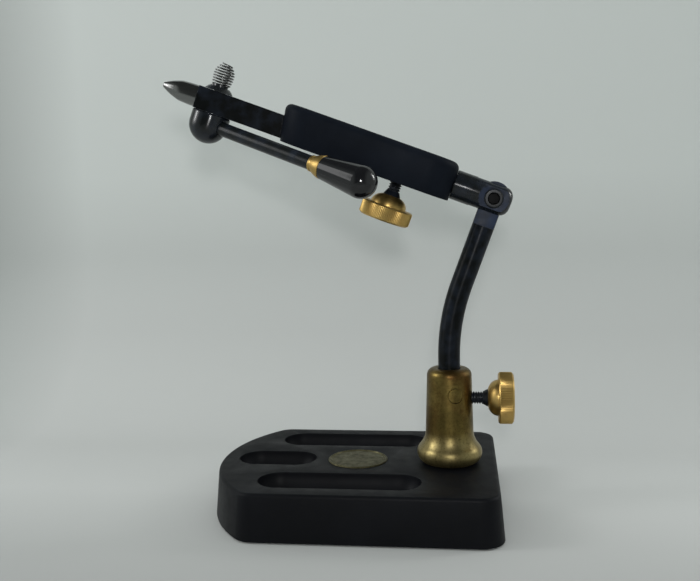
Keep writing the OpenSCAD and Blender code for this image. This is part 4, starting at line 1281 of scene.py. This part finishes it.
class VISE_OT_stage(Operator):
    """Sets the table, the backdrop, the lamps and the camera"""

    bl_idname = "vise.stage"
    bl_label = "Stage"

    def execute(self, context):
        colours = context.scene.vise_finish
        self.table(colours.floor, colours.backdrop)
        self.lamps()
        self.camera(context.scene)
        context.scene.view_settings.view_transform = "Standard"
        return {"FINISHED"}

    def table(self, floor, backdrop):
        """One sheet, clear from behind: a table that curves up into a backdrop."""
        near, back, width, height, curve = -1.98, 0.18, 0.9, 0.5, 0.1
        sheet = add(bpy.ops.mesh.primitive_plane_add, "table", size=1, location=(0, (near + back) / 2, 0))
        sheet.scale = (width, back - near, 1)
        settle(sheet)

        def at_back(edge):
            return all(v.co.y > back - MM for v in edge.verts)

        with editing(sheet):
            pick(sheet, "EDGE", at_back)
            draw_out((0, 0, height))
        bevel(sheet, lambda edge: at_back(edge) and middle(edge).z < MM, curve, 24)
        take(sheet)
        bpy.ops.object.shade_smooth()
        finish = Finish("backdrop", floor, 0.8, Specular_IOR_Level=0.2)
        # The colour changes on the way up, and darkens towards the viewer and at the left as painted shade
        place = finish.parts(finish.place)
        up = finish.mix(finish.ramp(place["Z"], 0.05, 0.15), floor, backdrop)
        shaded_nearer = finish.mix(finish.ramp(place["Y"], -0.09, 0.01, 1, 0), up, lighter(floor, 0.7))
        shaded_left = finish.ramp(place["X"], -0.265, -0.2, 1, 0)
        finish.tint(finish.mix(shaded_left, shaded_nearer, lighter(backdrop, 0.66)))
        one_sided = finish.new("ShaderNodeMixShader")
        finish.feed(one_sided.inputs[0], finish.new("ShaderNodeNewGeometry").outputs["Backfacing"])
        finish.feed(one_sided.inputs[1], finish.shader.outputs[0])
        finish.feed(one_sided.inputs[2], finish.new("ShaderNodeBsdfTransparent").outputs[0])
        finish.set(finish.tree.nodes["Material Output"], Surface=one_sided.outputs[0])
        sheet.data.materials.append(finish.material)

    def lamps(self):
        """Soft lamps at both sides and above, a small one beside the camera, and pale walls all round."""
        self.walls()
        aim = Vector((0, 0, 0.1))
        # Each lamp's name, place, size, power, and whether polished pieces mirror it
        lamps = (
            ("above", (0.0, 0.14, 0.95), (0.8, 0.4), 1.8, False),
            ("left", (-0.86, -0.18, 0.52), (0.5, 0.6), 1.9, True),
            ("left_core", (-0.80, -0.17, 0.50), (0.12, 0.2), 1.1, True),
            ("right", (0.84, 0.32, 0.50), (0.4, 0.5), 1.4, True),
            ("right_core", (0.78, 0.30, 0.48), (0.14, 0.2), 1.2, True),
            ("front", (0.055, -0.42, 0.19), (0.03, 0.03), 0.55, True),
        )
        for name, place, size, power, shine in lamps:
            lamp = bpy.data.lights.new(name, "AREA")
            lamp.shape = "RECTANGLE"
            lamp.size, lamp.size_y = size
            lamp.energy = power
            holder = bpy.data.objects.new(name, lamp)
            holder.location = place
            holder.rotation_euler = (aim - Vector(place)).to_track_quat("-Z", "Y").to_euler()
            holder.visible_glossy = shine
            bpy.context.scene.collection.objects.link(holder)

    def walls(self):
        """A world that polished pieces mirror as pale at the sides and dark overhead and in front."""
        dark, bright, unseen = 0.07, 0.45, 0.74
        world = bpy.data.worlds.new("studio")
        bpy.context.scene.world = world
        world.use_nodes = True
        nodes = Nodes(world.node_tree)
        way = nodes.parts(nodes.new("ShaderNodeTexCoord").outputs["Generated"])
        away = nodes.ramp(way["Y"], -0.45, 0.05, curve="SMOOTHSTEP")
        low = nodes.ramp(way["Z"], 0.7, 0.3, curve="SMOOTHSTEP")
        outwards = nodes.ramp(nodes.math("ABSOLUTE", way["X"]), 0.4, 0.8, curve="SMOOTHSTEP")
        pale = nodes.math("MAXIMUM", nodes.math("MULTIPLY", away, low), outwards)
        mirrored = nodes.ramp(pale, 0.0, 1.0, dark, bright)
        in_mirror = nodes.new("ShaderNodeLightPath").outputs["Is Glossy Ray"]
        strength = nodes.new("ShaderNodeMix", Factor=in_mirror, A=unseen, B=mirrored)
        sky = world.node_tree.nodes["Background"]
        nodes.set(sky, Color=(0.92, 1.0, 0.97, 1), Strength=strength.outputs["Result"])

    def camera(self, scene):
        """The photograph's view: just above the base, looking a little down."""
        place = Vector((0.0446212, -0.3782639, 0.1411039))
        yaw, pitch, roll, lens = -0.1230, 0.1179, 0.0198, 45.168
        ahead = Vector((sin(yaw) * cos(pitch), cos(yaw) * cos(pitch), -sin(pitch)))
        side = Vector((cos(yaw), -sin(yaw), 0))
        down = ahead.cross(side)
        across = side * cos(roll) + down * sin(roll)
        below = down * cos(roll) - side * sin(roll)
        view = Matrix((across, -below, -ahead)).transposed().to_4x4()
        camera = bpy.data.cameras.new("camera")
        camera.lens, camera.sensor_width, camera.clip_start = lens, 36, 0.01
        holder = bpy.data.objects.new("camera", camera)
        holder.matrix_world = Matrix.Translation(place) @ view
        scene.collection.objects.link(holder)
        scene.camera = holder


STEPS = (VISE_OT_base, VISE_OT_medallion, VISE_OT_column, VISE_OT_knobs, VISE_OT_studs, VISE_OT_stem,
         VISE_OT_fork, VISE_OT_pivot_screw, VISE_OT_block, VISE_OT_jaws, VISE_OT_cam, VISE_OT_spring,
         VISE_OT_lever, VISE_OT_small_parts, VISE_OT_stage)


class VISE_PT_panel(Panel):
    """Lists the sizes and the steps in the sidebar"""

    bl_idname = "VISE_PT_panel"
    bl_label = "Fly Tying Vise"
    bl_space_type = "VIEW_3D"
    bl_region_type = "UI"
    bl_category = "Vise"

    def draw(self, context):
        for name, group in GROUPS.items():
            box = self.layout.box()
            for entry in group.__annotations__:
                box.prop(getattr(context.scene, name), entry)
        for step in STEPS:
            self.layout.operator(step.bl_idname)


def register():
    for name, group in GROUPS.items():
        bpy.utils.register_class(group)
        setattr(bpy.types.Scene, name, PointerProperty(type=group))
    for step in (*STEPS, VISE_PT_panel):
        bpy.utils.register_class(step)


def unregister():
    for step in reversed((*STEPS, VISE_PT_panel)):
        bpy.utils.unregister_class(step)
    for name, group in GROUPS.items():
        delattr(bpy.types.Scene, name)
        bpy.utils.unregister_class(group)


def main():
    register()
    bpy.ops.vise.base()
    bpy.ops.vise.medallion()
    bpy.ops.vise.column()
    bpy.ops.vise.knobs()
    bpy.ops.vise.studs()
    bpy.ops.vise.stem()
    bpy.ops.vise.fork()
    bpy.ops.vise.pivot_screw()
    bpy.ops.vise.block()
    bpy.ops.vise.jaws()
    bpy.ops.vise.cam()
    bpy.ops.vise.spring()
    bpy.ops.vise.lever()
    bpy.ops.vise.small_parts()
    bpy.ops.vise.stage()


if __name__ == "__main__":
    main()
